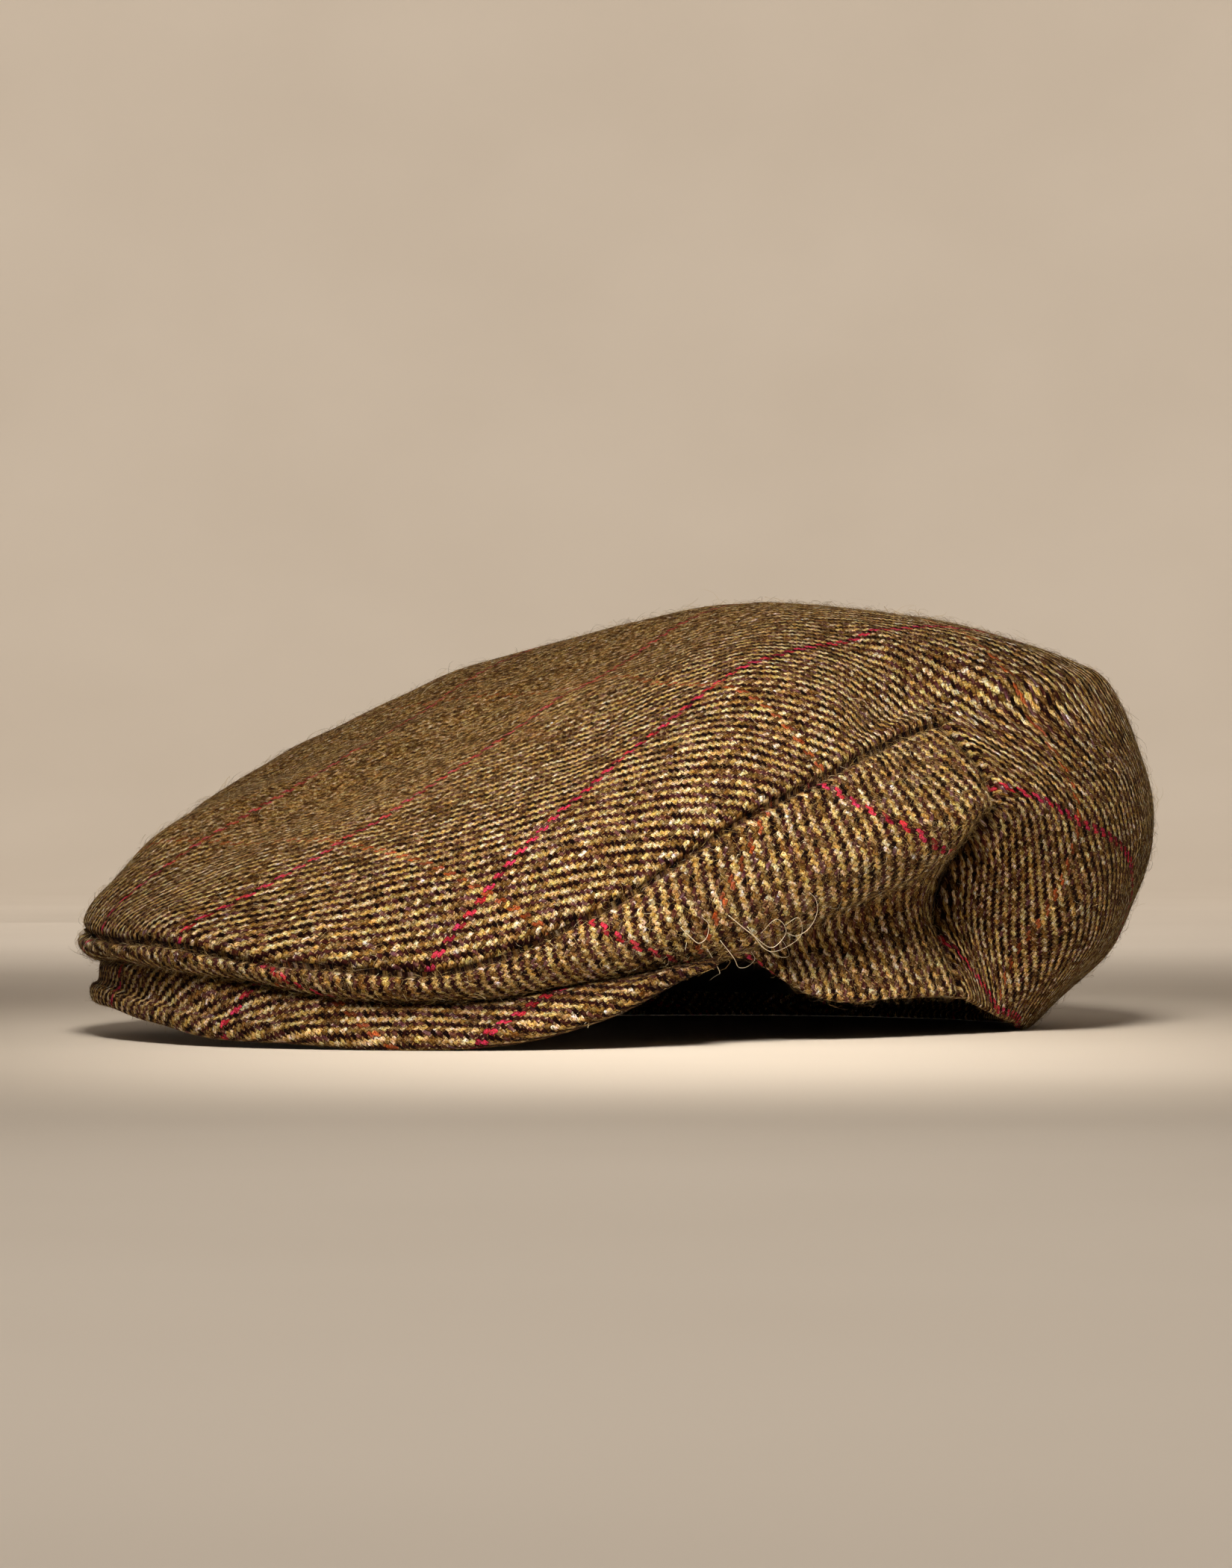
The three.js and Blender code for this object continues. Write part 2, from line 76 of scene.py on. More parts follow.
# Crown sections: angle from the front, then heights and distances from the axis of the section's knots
# angle rimZ valleyR valleyZ underR underZ bulgeR bulgeZ seamR seamZ puffZ shoulderZ upperZ
SECTIONS = np.array([
    [0, 30, 150, 23.5, 171, 17.6, 176.5, 20.4, 176, 23.5, 38, 57, 83],
    [16, 29, 145, 20, 165, 12.4, 169.5, 15.4, 169.5, 19, 38.5, 59, 84.5],
    [28, 27, 135, 18.5, 153, 10.6, 159, 14, 157.5, 18.4, 40, 64, 88],
    [39, 24, 124, 19.5, 139, 15.4, 145.5, 22, 142, 31, 51, 74, 93],
    [51, 21, 107, 20.5, 118, 21.8, 125.5, 33, 120.5, 50, 66, 85, 97],
    [64, 11.8, 90, 24, 103, 29, 112, 42, 100, 62.5, 74.5, 90.5, 100.3],
    [78, 11.5, 82, 31, 95, 36, 105.5, 50, 86, 72, 80, 94, 101.8],
    [90, 11.5, 76, 30, 92, 42, 103, 55, 83, 76, 83, 96, 102.3],
    [110, 4, 82, 14, 93, 27, 100.5, 52, 87, 81, 87.5, 97, 102.5],
    [135, 0, 80, 10, 92, 23, 100, 50, 89, 84, 90, 98, 102.8],
    [160, 0, 77, 9, 90, 22, 100.5, 50, 89, 84.5, 90.5, 98.5, 103],
    [180, 0, 76, 9, 90, 22, 101, 50, 89, 84.5, 90.5, 98.5, 103],
])
# How much higher the wearer's right stands: angle, lift of the peak and from the valley to the seam, then
# rises of rim, puff, shoulder and upper
RIGHT_RISE = np.array([
    [0, 0, 0, 0, 0, 0],
    [8, 2.4, 2.4, 3, 1.4, 0.5],
    [16, 5.8, 5, 7.5, 4, 1.5],
    [28, 9.6, 6.5, 10, 4.5, 1.8],
    [39, 10.8, 4, 9, 3.5, 1.2],
    [51, 9.4, -2, 5.5, 2, 0.6],
    [64, 6, -7.5, 3, 0.7, 0],
    [78, 3, -10.6, 1.5, 0.5, 0],
    [95, 0, -9.4, 0, 0, 0],
    [112, 0, -3.2, 0, 0, 0],
    [135, 0, -1, 0, 0, 0],
    [160, 0, -0.4, 0, 0, 0],
    [180, 0, 0, 0, 0, 0],
])
# Distances of puff, shoulder and upper from the axis, as shares of the seam's
DOME_SHARES = (0.9, 0.65, 0.33)
# Lean of the rear seam: level and degrees, and how many degrees either side of it lean with it
SEAM_LEAN = np.array([[0, 2], [1, 1.5], [2, 0], [3, -1], [4, -4.5], [5, -3], [6, 0], [8, 0]])
LEAN_REACH = 24.0
# Folds: start angle and level, end angle and level, width, depth (a ridge has a depth below 0)
FOLDS = (
    ("rear tuck", (90, 1.1), (88, 2.9), 7, 5),
    ("crease in the rear tuck", (90.3, 1.2), (88.6, 2.7), 2.2, 2.5),
    ("band valley", (58, 1.2), (84, 1.9), 9, 3),
    ("dent above the seam end", (74, 4.7), (92, 5), 11, 3.5),
    ("ridge behind the dent", (88, 5.6), (100, 4.6), 9, -2),
    ("right rear tuck", (-91, 1.2), (-89, 2.6), 9, 4.5),
    ("right band valley", (-60, 1.3), (-86, 1.8), 10, 2.5),
    ("right dent", (-72, 4.6), (-90, 5), 13, 2.5),
)
# Millimetres to a degree and to a level near the folds
DEGREE_RUN = 1.75
LEVEL_RUN = 15.0
# Cloth along a seam: the groove, the fuller cloth beside it, and the width of the shade painted into it
GROOVE_DEPTH = 2.3
GROOVE_WIDTH = 1.1
SWELL_HEIGHT = 0.6
SWELL_AWAY = 4.5
SWELL_WIDTH = 3.0
SEAM_SHADE_WIDTH = 1.0
# Soft unevenness: waves in each sum, then height, length of the waves and seed on the crown, peak and lining
SLACK_WAVES = 14
UNEVEN = ((0.45, 42, 3), (0.18, 17, 4))
PEAK_UNEVEN = (0.25, 30, 5)
LINING_UNEVEN = (0.7, 24, 8)
# Peak edge: angle, distance from the axis, lowest height, thickness
PEAK_EDGE = np.array([
    [0, 178.5, 7, 6],
    [8, 176.9, 4.9, 6],
    [16, 172.4, 1.9, 6],
    [22, 167, 0, 6],
    [28, 161, 0, 6],
    [34, 153.4, 2.2, 6],
    [40, 144.8, 7.3, 5.6],
    [46, 135.2, 14.8, 4.4],
    [51, 126.8, 19.3, 3],
])

# Tweed: spacing of the yarns and the ends and picks from one check line to the next
END_PITCH = 1.04
PICK_PITCH = 1.048
CHECK_ENDS = 50.0
CHECK_PICKS = 84.0
# Redness of the middle tone: darker tone, of wool and of painted shade alike, is redder than that, as painted
# bounce light within wool, and lighter tone paler
MIDDLE_TONE = 0.30


def smoothstep(low, high, value):
    """Rises from 0 at low to 1 at high: three times the square less twice the cube of the share."""
    share = np.clip((value - low) / (high - low), 0, 1)
    return share * share * (3 - 2 * share)


def unit(vectors):
    """Vectors divided by their lengths."""
    return vectors / np.maximum(np.linalg.norm(vectors, axis=-1, keepdims=True), 1e-9)


def cubic(start, end, start_run, end_run, share):
    """Cubic from start to end over a share from 0 to 1, with the given runs as its end slopes."""
    rest = 1 - share
    first = (1 + 2 * share) * rest * rest * start + share * rest * rest * start_run
    return first + share * share * (3 - 2 * share) * end - share * share * rest * end_run


def signed(angle):
    """Angle brought between -180 and 180."""
    return (angle + 180) % 360 - 180


def rows_at(table, angle, mirrored_end=True):
    """Columns of a table at the size of an angle: cubics through the rows, whose slope at a row is the mean
    of the slopes on both sides, each weighted by the other side's step."""
    at = np.abs(signed(angle))
    past = table[-2] if mirrored_end else 2 * table[-1] - table[-2]
    angles = np.concatenate([[-table[1, 0]], table[:, 0], [2 * table[-1, 0] - table[-2, 0]]])
    values = np.concatenate([table[1:2, 1:], table[:, 1:], past[None, 1:]])
    step = np.diff(angles)[:, None]
    side = np.diff(values, axis=0) / step
    slope = (side[:-1] * step[1:] + side[1:] * step[:-1]) / (step[:-1] + step[1:])
    k = np.clip(np.searchsorted(table[:, 0], at, side="right") - 1, 0, len(table) - 2)
    length = (table[k + 1, 0] - table[k, 0])[..., None]
    share = (at - table[k, 0])[..., None] / length
    return cubic(table[k, 1:], table[k + 1, 1:], slope[k] * length, slope[k + 1] * length, share)


def along(padded, level):
    """Point on a smooth curve through knots that has one spare knot before and after: cubics whose steps
    grow with the root of the distance between knots."""
    step = np.sqrt(np.maximum(np.linalg.norm(np.diff(padded, axis=-2), axis=-1), 1e-6))[..., None]
    side = np.diff(padded, axis=-2) / step
    slope = (side[..., :-1, :] * step[..., 1:, :] + side[..., 1:, :] * step[..., :-1, :])
    slope = slope / (step[..., :-1, :] + step[..., 1:, :])
    k = np.clip(np.floor(level).astype(int), 0, padded.shape[-2] - 4)

    def pick(array, shift):
        return np.take_along_axis(array, (k + shift)[..., None, None], axis=-2)[..., 0, :]

    length = pick(step, 1)
    share = (level - k)[..., None]
    return cubic(pick(padded, 1), pick(padded, 2), pick(slope, 0) * length, pick(slope, 1) * length, share)


def rim_radius(angle):
    """Distance from the axis to the head opening, an ellipse seen from above."""
    ahead = -np.cos(np.radians(angle))
    across = np.sin(np.radians(angle))
    offset = AXIS_Y - RIM_CENTRE_Y
    a = (across / RIM_HALF_WIDTH) ** 2 + (ahead / RIM_HALF_LENGTH) ** 2
    b = 2 * offset * ahead / RIM_HALF_LENGTH ** 2
    c = (offset / RIM_HALF_LENGTH) ** 2 - 1
    return (-b + np.sqrt(b * b - 4 * a * c)) / (2 * a)


def right_rise(angle):
    """Rises on the wearer's right; none on the left."""
    return rows_at(RIGHT_RISE, angle) * (signed(angle) < 0)[..., None]


def crown_knots(angle):
    """Knots of the crown's section, from the rim to the top, as distance from the axis and height."""
    row = rows_at(SECTIONS, angle)
    rise = right_rise(angle)
    lift = rise[..., 0]
    seam = row[..., 7]
    radii = [rim_radius(angle), row[..., 1], row[..., 3], row[..., 5], seam]
    radii += [seam * share for share in DOME_SHARES] + [0 * seam]
    heights = [np.maximum(row[..., 0] + rise[..., 1] - SETTLE, 0)]
    heights += [row[..., k] + lift for k in (2, 4, 6, 8)]
    heights += [row[..., 9 + k] + rise[..., 2 + k] for k in range(3)] + [0 * seam + TOP_Z]
    return np.stack([np.stack(radii, axis=-1), np.stack(heights, axis=-1)], axis=-1)


def capped(knots):
    """Knots with a straight continuation below and a mirrored one beyond the axis."""
    before = 2 * knots[..., :1, :] - knots[..., 1:2, :]
    after = knots[..., -2:-1, :] * np.array([-1.0, 1.0])
    return np.concatenate([before, knots, after], axis=-2)


def place(angle, radius, height):
    """Point at an angle from the front, a distance from the axis and a height."""
    turn = np.radians(angle)
    return np.stack([radius * np.sin(turn), AXIS_Y - radius * np.cos(turn), height + 0 * turn], axis=-1)


def smooth_crown(angle, level):
    """Crown before its folds: its section's smooth curve, turned about the axis."""
    angle, level = np.broadcast_arrays(np.asarray(angle, float), np.asarray(level, float))
    flat = along(capped(crown_knots(angle)), np.clip(level, 0, TOP_LEVEL))
    return place(angle, flat[..., 0], flat[..., 1])


def outward(surface, angle, level):
    """Outward direction: the run round the cap crossed with the run up the section; upright at the top."""
    angle, level = np.broadcast_arrays(np.asarray(angle, float), np.asarray(level, float))
    safe = np.minimum(level, SAFE_TOP)
    around = surface(angle + ANGLE_STEP, safe) - surface(angle - ANGLE_STEP, safe)
    up = surface(angle, safe + LEVEL_STEP) - surface(angle, np.maximum(safe - LEVEL_STEP, 0))
    direction = unit(np.cross(around, up))
    direction[level >= FLAT_TOP] = (0, 0, 1)
    return direction


def fold_depth(angle, level):
    """How far the folds press the cloth in: each a bell over the distance from its line."""
    at = signed(angle)
    depth = 0 * at
    for _, start, end, width, deep in FOLDS:
        run = np.array([(end[0] - start[0]) * DEGREE_RUN, (end[1] - start[1]) * LEVEL_RUN])
        x = (at - start[0]) * DEGREE_RUN
        y = (level - start[1]) * LEVEL_RUN
        share = np.clip((x * run[0] + y * run[1]) / (run @ run), 0, 1)
        away = np.hypot(x - share * run[0], y - share * run[1])
        depth = depth + deep * np.exp(-((away / width) ** 2))
    return depth


def slack(points, wavelength, seed):
    """Soft unevenness of cloth: the mean of waves of about one length in many directions, about -1 to 1."""
    rng = np.random.default_rng(seed)
    direction = unit(rng.normal(size=(SLACK_WAVES, 3)))
    lengths = wavelength * rng.uniform(0.75, 1.4, SLACK_WAVES)
    phase = rng.uniform(0, 2 * math.pi, SLACK_WAVES)
    waves = np.sin(points @ (direction * (2 * math.pi / lengths)[:, None]).T + phase)
    return waves.sum(axis=-1) / math.sqrt(SLACK_WAVES)


def seam_lean(level):
    """Degrees that the rear seam leans at a level."""
    return np.interp(level, SEAM_LEAN[:, 0], SEAM_LEAN[:, 1])


def leaned(angle, level):
    """Angle moved with the lean of the rear seam, less with the distance from it."""
    away = np.clip((np.abs(angle) - REAR_SEAM) / LEAN_REACH, -1, 1)
    return angle + np.sign(angle) * seam_lean(level) * (1 - away * away) ** 2


def seam_distance(angle, level):
    """Millimetres to the nearest seam: the long seam above the side panels or the rear seam below it."""
    at = np.abs(signed(angle))
    seam = smooth_crown(angle, SEAM_LEVEL)
    above = np.linalg.norm(smooth_crown(angle, SEAM_LEVEL + SEAM_STEP) - seam, axis=-1) / SEAM_STEP
    below = np.linalg.norm(smooth_crown(angle, SEAM_LEVEL - SEAM_STEP) - seam, axis=-1) / SEAM_STEP
    over = level - SEAM_LEVEL
    climb = np.where(over > 0, over * above, -over * below)
    point = smooth_crown(angle, level)
    radius = np.hypot(point[..., 0], point[..., 1] - AXIS_Y)
    long_end = REAR_SEAM + seam_lean(SEAM_LEVEL)
    past_end = np.maximum(at - long_end, 0) * radius * math.pi / 180
    long_seam = np.hypot(climb, past_end)
    beside = np.abs(at - REAR_SEAM - seam_lean(level)) * radius * math.pi / 180
    rear_seam = np.hypot(beside, np.maximum(over, 0) * above)
    return np.minimum(long_seam, rear_seam)


def seam_crease(angle, level):
    """How deep in a seam the cloth lies, used as painted shade that darkens it: a bell over the distance from
    the nearest seam.
    """
    return np.exp(-((seam_distance(angle, level) / SEAM_SHADE_WIDTH) ** 2))


def crown_cloth(angle, level):
    """Crown as sewn: folds, soft unevenness, a groove along each seam and fuller cloth beside it."""
    angle, level = np.broadcast_arrays(np.asarray(angle, float), np.asarray(level, float))
    point = smooth_crown(angle, level)
    away = seam_distance(angle, level)
    groove = GROOVE_DEPTH * np.exp(-((away / GROOVE_WIDTH) ** 2))
    groove = groove - SWELL_HEIGHT * np.exp(-(((away - SWELL_AWAY) / SWELL_WIDTH) ** 2))
    settle = smoothstep(0, 0.33, level) * smoothstep(0, 0.3, TOP_LEVEL - level)
    uneven = sum(height * slack(point, length, seed) for height, length, seed in UNEVEN)
    push = uneven * settle - fold_depth(angle, level) * settle - groove
    cloth = point + outward(smooth_crown, angle, level) * push[..., None]
    height = cloth[..., 2]
    cloth[..., 2] = 0.5 * (height + np.sqrt(height * height + 4 * HEM_ROLL ** 2))
    return cloth


def grid_outward(points, ring):
    """Outward directions of a grid: its run along the rows crossed with its run up the columns."""
    if ring:
        around = np.roll(points, -1, axis=1) - np.roll(points, 1, axis=1)
    else:
        around = np.gradient(points, axis=1)
    direction = unit(np.cross(around, np.gradient(points, axis=0)))
    if ring:
        direction[-1] = (0, 0, 1)
    return direction


def hem_roll(points, direction):
    """Rows of the rolled hem below a grid's first row: half a circle from the outer to the inner side."""
    down = unit(points[0] - points[1])
    turn = np.linspace(math.pi, 0, HEM_ROWS, endpoint=False)[:, None, None]
    middle = points[0] - direction[0] * HEM_ROLL
    rows = middle + HEM_ROLL * (np.cos(turn) * direction[0] + np.sin(turn) * down)
    rows[..., 2] = np.maximum(rows[..., 2], HEM_LOWEST)
    return rows, HEM_ROLL * turn[..., 0]


def make_mesh(name, points, faces, **marks):
    """Object at the origin from points in millimetres, faces and marks on the points."""
    mesh = bpy.data.meshes.new(name)
    mesh.from_pydata((points * MM).tolist(), [], faces)
    for mark, values in marks.items():
        kind = "FLOAT" if values.ndim == 1 else "FLOAT_VECTOR"
        field = "value" if values.ndim == 1 else "vector"
        layer = mesh.attributes.new(mark, kind, "POINT")
        layer.data.foreach_set(field, np.ascontiguousarray(values, dtype=np.float32).ravel())
    mesh.polygons.foreach_set("use_smooth", np.ones(len(mesh.polygons), dtype=bool))
    mesh.update()
    piece = bpy.data.objects.new(name, mesh)
    bpy.context.scene.collection.objects.link(piece)
    return piece


def face_list(quads):
    """Quads as lists; where the last two corners are one point, the face is a triangle."""
    pointed = quads[:, 2] == quads[:, 3]
    return quads[~pointed].tolist() + quads[pointed, :3].tolist()


def cloth_shell(name, points, kept, cloth, crease, nap, roll_rows, thickness, ring):
    """Closed cloth wall over the kept cells of a grid: the outer side, an inner side set in by the
    thickness, and strips between them along every free edge. A ring's last row is its one top point. Both
    sides carry the cloth coordinates, the painted shade of seams and creases, and the nap as marks."""
    rows, columns = points.shape[:2]
    total = rows * columns
    number = np.arange(total).reshape(rows, columns)
    if ring:
        number[-1] = number[-1, 0]
    inner = number + total
    inner[:roll_rows] = inner[roll_rows]
    left = number if ring else number[:, :-1]
    right = np.roll(number, -1, axis=1) if ring else number[:, 1:]
    outer_quads = np.stack([left[:-1], right[:-1], right[1:], left[1:]], axis=-1)
    deep = np.arange(rows - 1)[:, None] >= roll_rows
    inner_quads = (outer_quads[..., [1, 0, 3, 2]] + total)[kept & deep]
    outer_quads = outer_quads[kept]
    edges = np.concatenate([outer_quads[:, [k, (k + 1) % 4]] for k in range(4)])
    edges = edges[edges[:, 0] != edges[:, 1]]
    free = ~np.isin(edges[:, 0] * total + edges[:, 1], edges[:, 1] * total + edges[:, 0])
    start, end = edges[free].T
    below = inner.ravel()
    strips = np.stack([end, start, below[start], below[end]], axis=-1)
    quads = np.concatenate([outer_quads, inner_quads, strips])
    skin = points - grid_outward(points, ring) * thickness
    both = np.concatenate([points.reshape(-1, 3), skin.reshape(-1, 3)])
    used, compact = np.unique(quads, return_inverse=True)
    marked = np.concatenate([cloth.reshape(-1, 2)] * 2)[used]
    marked = np.concatenate([marked, np.zeros((len(used), 1))], axis=1)
    crease = np.concatenate([crease.ravel()] * 2)[used]
    nap = np.concatenate([nap.ravel()] * 2)[used]
    faces = face_list(compact.reshape(-1, 4))
    return make_mesh(name, both[used], faces, cloth=marked, crease=crease, nap=nap)


def graded(start, end, count, power):
    """Steps from start to end that are shortest at the start."""
    return start + (end - start) * np.linspace(0, 1, count + 1) ** power


# Lie of the top panel's cloth: run from the top to the wall, slants, and shifts at the sides, the brow, the
# crest, the rear seams and behind them, then the place of the first lines
WALL_START = 95.0
FRONT_SLANT = 0.2
BACK_SLANT = 0.14
SIDE_PULL = 13.0
BROW_SHIFT = 22.0
CREST_SHIFT = 8.0
SEAM_SAG = 5.0
REAR_SAG = 6.0
TOP_ENDS = 2.0
TOP_PICKS = -22.0


def top_cloth_map(angle, run):
    """Cloth coordinates on the top panel from the angle and the run from the top: flat polar on the dome,
    hanging straight down on the side wall, turned a little to follow the check."""
    size = np.abs(angle)
    turn = np.radians(angle)
    fall = np.where(size < 90, size, 90 + 90 * smoothstep(106, 180, size))
    fall = np.radians(fall) * np.sign(angle)
    wall = np.maximum(run - WALL_START, 0)
    dome = np.minimum(run, WALL_START)
    across = dome * np.sin(turn) + wall * np.sin(fall)
    back = -dome * np.cos(turn) - wall * np.cos(fall)
    front = 0.5 * (back - np.sqrt(back * back + 900))
    side = np.sign(angle) * smoothstep(180, 126, size)
    pull = SIDE_PULL * smoothstep(60, 110, run) * smoothstep(70, 95, size) * side
    brow = BROW_SHIFT * smoothstep(160, 198, run) * np.exp(-(((angle - 4) / 15) ** 2))
    crest = CREST_SHIFT * np.exp(-(((angle - 20) / 16) ** 2) - ((run - 58) / 18) ** 2)
    sag = SEAM_SAG * np.exp(-(((size - REAR_SEAM) / 3) ** 2)) - REAR_SAG * smoothstep(93, 106, size)
    sag = sag * smoothstep(80, 110, run) * side
    ends = across + FRONT_SLANT * front - pull + brow + sag
    picks = back - BACK_SLANT * across * smoothstep(30, -30, back) - crest
    return np.stack([ends + TOP_ENDS + END_PITCH, picks + TOP_PICKS + PICK_PITCH], axis=-1)


def crown_ring():
    """Angles once round the crown, closest together at the rear seams."""
    front_steps, back_steps, grading = 120, 90, 1.3
    front = REAR_SEAM - graded(0, REAR_SEAM, front_steps, grading)[::-1]
    back = REAR_SEAM + graded(0, 180 - REAR_SEAM, back_steps, grading)[1:]
    half = np.concatenate([front, back])
    return np.concatenate([half, -half[-2:0:-1]])


def profile_run(angle, level):
    """Millimetres along the smooth section from the top down to each row of a grid."""
    points = smooth_crown(angle, level)
    steps = np.linalg.norm(np.diff(points, axis=0), axis=-1)
    run = np.cumsum(steps[::-1], axis=0)[::-1]
    return np.concatenate([run, np.zeros((1, points.shape[1]))])


def top_levels():
    """Levels of the top panel's rows, closest together at the hem and just above the long seam."""
    hem = graded(0, 1, 14, 1.2)
    skirt = np.linspace(1, SEAM_LEVEL, 43)[1:-1]
    dome = graded(SEAM_LEVEL, TOP_LEVEL, 70, 1.35)
    return np.concatenate([hem, skirt, dome])[:, None]


def nap_and_painted_shade(points):
    """How much the nap stands up, which also sets where its darker colour paints shade on the dome: rising
    from the wearer's left to the middle and up the wall, and fading behind a slanting line across the dome."""
    x, y, z = np.moveaxis(points, -1, 0)
    left_front = 0.8 * x - 0.6 * (y - AXIS_Y)
    return smoothstep(54, -10, x) * smoothstep(25, 60, z) * smoothstep(-60, 0, left_front)


def crown_top_piece():
    """Top panel: the whole dome above the long seam and the back from rear seam to rear seam."""
    column = crown_ring()[None, :]
    level = top_levels()
    angle, height = np.broadcast_arrays(leaned(column, level), level)
    at_seam = (height == SEAM_LEVEL) & (np.abs(column) <= REAR_SEAM)
    height = height + at_seam * SEAM_OPENING / ABOVE_SEAM_RUN
    behind = (np.abs(column) == REAR_SEAM) & (height < SEAM_LEVEL + 0.02)
    angle = angle + behind * np.sign(column) * SEAM_OPENING / REAR_SEAM_RUN
    points = crown_cloth(angle, height)
    direction = grid_outward(points, True)
    rolled, extra = hem_roll(points, direction)
    low = rolled[..., 2].min(axis=0)
    sink = np.maximum(low - HEM_LOWEST, 0) * smoothstep(2.2, 1.3, low)
    rolled[..., 2] -= sink
    points[..., 2] -= sink * smoothstep(0.7, 0, level)
    run = profile_run(column, level)
    run = np.concatenate([run[0] + extra, run])
    points = np.concatenate([rolled, points])
    roll_rows = len(rolled)
    # Painted shade along the seams, kept as a mark
    crease = seam_crease(angle, height)
    crease = np.concatenate([np.repeat(crease[:1], roll_rows, axis=0), crease])
    cloth = top_cloth_map(np.broadcast_to(column, run.shape), run)
    rear = np.abs(column[0]) >= REAR_SEAM
    rear_cell = rear & np.roll(rear, -1)
    row_level = np.concatenate([np.zeros(roll_rows), level[:, 0]])
    kept = (row_level[:-1, None] >= SEAM_LEVEL) | rear_cell[None, :]
    nap = nap_and_painted_shade(points)
    piece = cloth_shell("crown_top_tweed", points, kept, cloth, crease, nap, roll_rows, CLOTH, True)
    return piece, points, kept


# Lie of a side panel's cloth: its grain and the level of the bulge that it runs along, then the scale, bend,
# place of the bend and first line of its ends and picks, and the reach of a bend
SIDE_GRAIN = math.radians(29)
BULGE_LEVEL = 3.0
SIDE_ENDS = (1.01, 0.15, -82, 81.6)
SIDE_PICKS = (0.99, -0.12, 95, -111.3)
BEND_REACH = 8.0


def bent(run, lie):
    """Run along the cloth, scaled, bent softly at one place and moved to its first line."""
    scale, bend, spot, shift = lie
    return scale * run + bend * np.hypot(run - spot, BEND_REACH) + shift


def side_cloth_map(angle, level, side):
    """Cloth coordinates on a side panel: run along the bulge towards the back and height over it, turned
    by the grain."""
    bulge = smooth_crown(side * angle[:1], BULGE_LEVEL)[0]
    steps = np.linalg.norm(np.diff(bulge[:, :2], axis=0), axis=-1)
    length = np.concatenate([[0], np.cumsum(steps)])
    points = smooth_crown(side * angle, level)
    climb = np.cumsum(np.linalg.norm(np.diff(points, axis=0), axis=-1), axis=0)
    climb = np.concatenate([np.zeros((1, points.shape[1])), climb])
    middle = np.argmin(np.abs(level[:, 0] - BULGE_LEVEL))
    height = bulge[:, 2] + climb - climb[middle]
    length = length + 0 * height
    ends = -length * math.sin(SIDE_GRAIN) - height * math.cos(SIDE_GRAIN)
    picks = length * math.cos(SIDE_GRAIN) - height * math.sin(SIDE_GRAIN)
    ends = bent(ends, SIDE_ENDS) + END_PITCH
    picks = side * bent(picks, SIDE_PICKS) + PICK_PITCH
    return np.stack([ends, picks], axis=-1)


def crown_side_piece(name, side):
    """Side panel: from the centre front, where it is a strip above the peak, back to the rear seam."""
    column = REAR_SEAM - graded(0, REAR_SEAM, 190, 1.15)[::-1]
    low = graded(0, 2, 40, 1.2)
    high = SEAM_LEVEL - graded(0, 2, 44, 1.5)[::-1]
    level = np.concatenate([low, high[1:]])[:, None]
    column, level = np.broadcast_arrays(column[None, :], level)
    height = level - (level == SEAM_LEVEL) * SEAM_OPENING / BELOW_SEAM_RUN
    shift = FRONT_OPENING * (column == 0) - (column == REAR_SEAM) * SEAM_OPENING / REAR_SEAM_RUN
    angle = leaned(column, level) + shift
    flat = side_cloth_map(column, level, side)
    points = crown_cloth(side * angle, height)
    # Painted shade along the seams, kept as a mark
    crease = seam_crease(side * angle, height)
    if side < 0:
        points = points[:, ::-1]
        flat = flat[:, ::-1]
        crease = crease[:, ::-1]
    direction = grid_outward(points, False)
    rolled, extra = hem_roll(points, direction)
    crease = np.concatenate([np.repeat(crease[:1], len(rolled), axis=0), crease])
    drop = unit(flat[0] - flat[1])
    flat = np.concatenate([flat[0] + drop * extra[..., None], flat])
    points = np.concatenate([rolled, points])
    kept = np.ones((points.shape[0] - 1, points.shape[1] - 1), dtype=bool)
    piece = cloth_shell(name, points, kept, flat, crease, 0 * crease, len(rolled), CLOTH, False)
    return piece, points, kept


# Fine forms of the peak: how far its front edge is trimmed and droops, and how much its ends taper
PEAK_TRIM = 4.5
PEAK_DROOP = 3.1
PEAK_TAPER = 0.7
TAPER_START = 44.0
# Knots round the peak's edge, as shares of its thickness: in from the edge and up from the underside
EDGE_INSET = np.array([0.33, 0.08, 0, 0.12, 0.5, 1])
EDGE_CLIMB = np.array([0.92, 0.75, 0.48, 0.14, 0, 0])
# Levels round the peak's section: where the edge starts to show above and where it ends below
EDGE_LEVELS = (5.5, 12.0)
# Stations round the peak, points in a span of its section at the edge and elsewhere, and the places of its
# first check lines
PEAK_STATIONS = 221
EDGE_POINTS = 6
PLAIN_POINTS = 3
PEAK_ENDS = -84.5
PEAK_PICKS = 159.3


def peak_section(angle):
    """Knots round the peak's section: along its top, round its edge and back underneath."""
    row = rows_at(PEAK_EDGE, angle, mirrored_end=False)[:, None, :]
    edge_r = row[..., 0] - PEAK_TRIM * smoothstep(14, -4, angle)[:, None]
    thick = row[..., 2] * (1 - PEAK_TAPER * smoothstep(TAPER_START, PEAK_END, np.abs(angle))[:, None])
    droop = PEAK_DROOP * np.exp(-(((angle - 5) / 9.5) ** 2))[:, None]
    low = np.maximum(row[..., 1] - droop, 0) + right_rise(angle)[:, None, 0]
    level = np.linspace(0, 2, 7)[None, :]
    top = smooth_crown(angle[:, None], level)
    top = top + outward(smooth_crown, angle[:, None], level) * PEAK_GAP
    top = np.stack([np.hypot(top[..., 0], top[..., 1] - AXIS_Y), top[..., 2]], axis=-1)
    edge = np.stack([edge_r - EDGE_INSET * thick, low + EDGE_CLIMB * thick], axis=-1)
    above = top[:, [4, 2, 0]]
    share = (edge[:, -1:, 0] - above[..., 0]) / (edge[:, -1:, 0] - top[:, :1, 0])
    straight = edge[:, -1:, 1] + (top[:, :1, 1] - thick - edge[:, -1:, 1]) * share
    under = np.stack([above[..., 0], 0.5 * (straight + above[..., 1] - thick)], axis=-1)
    return np.concatenate([top, edge, under], axis=1)


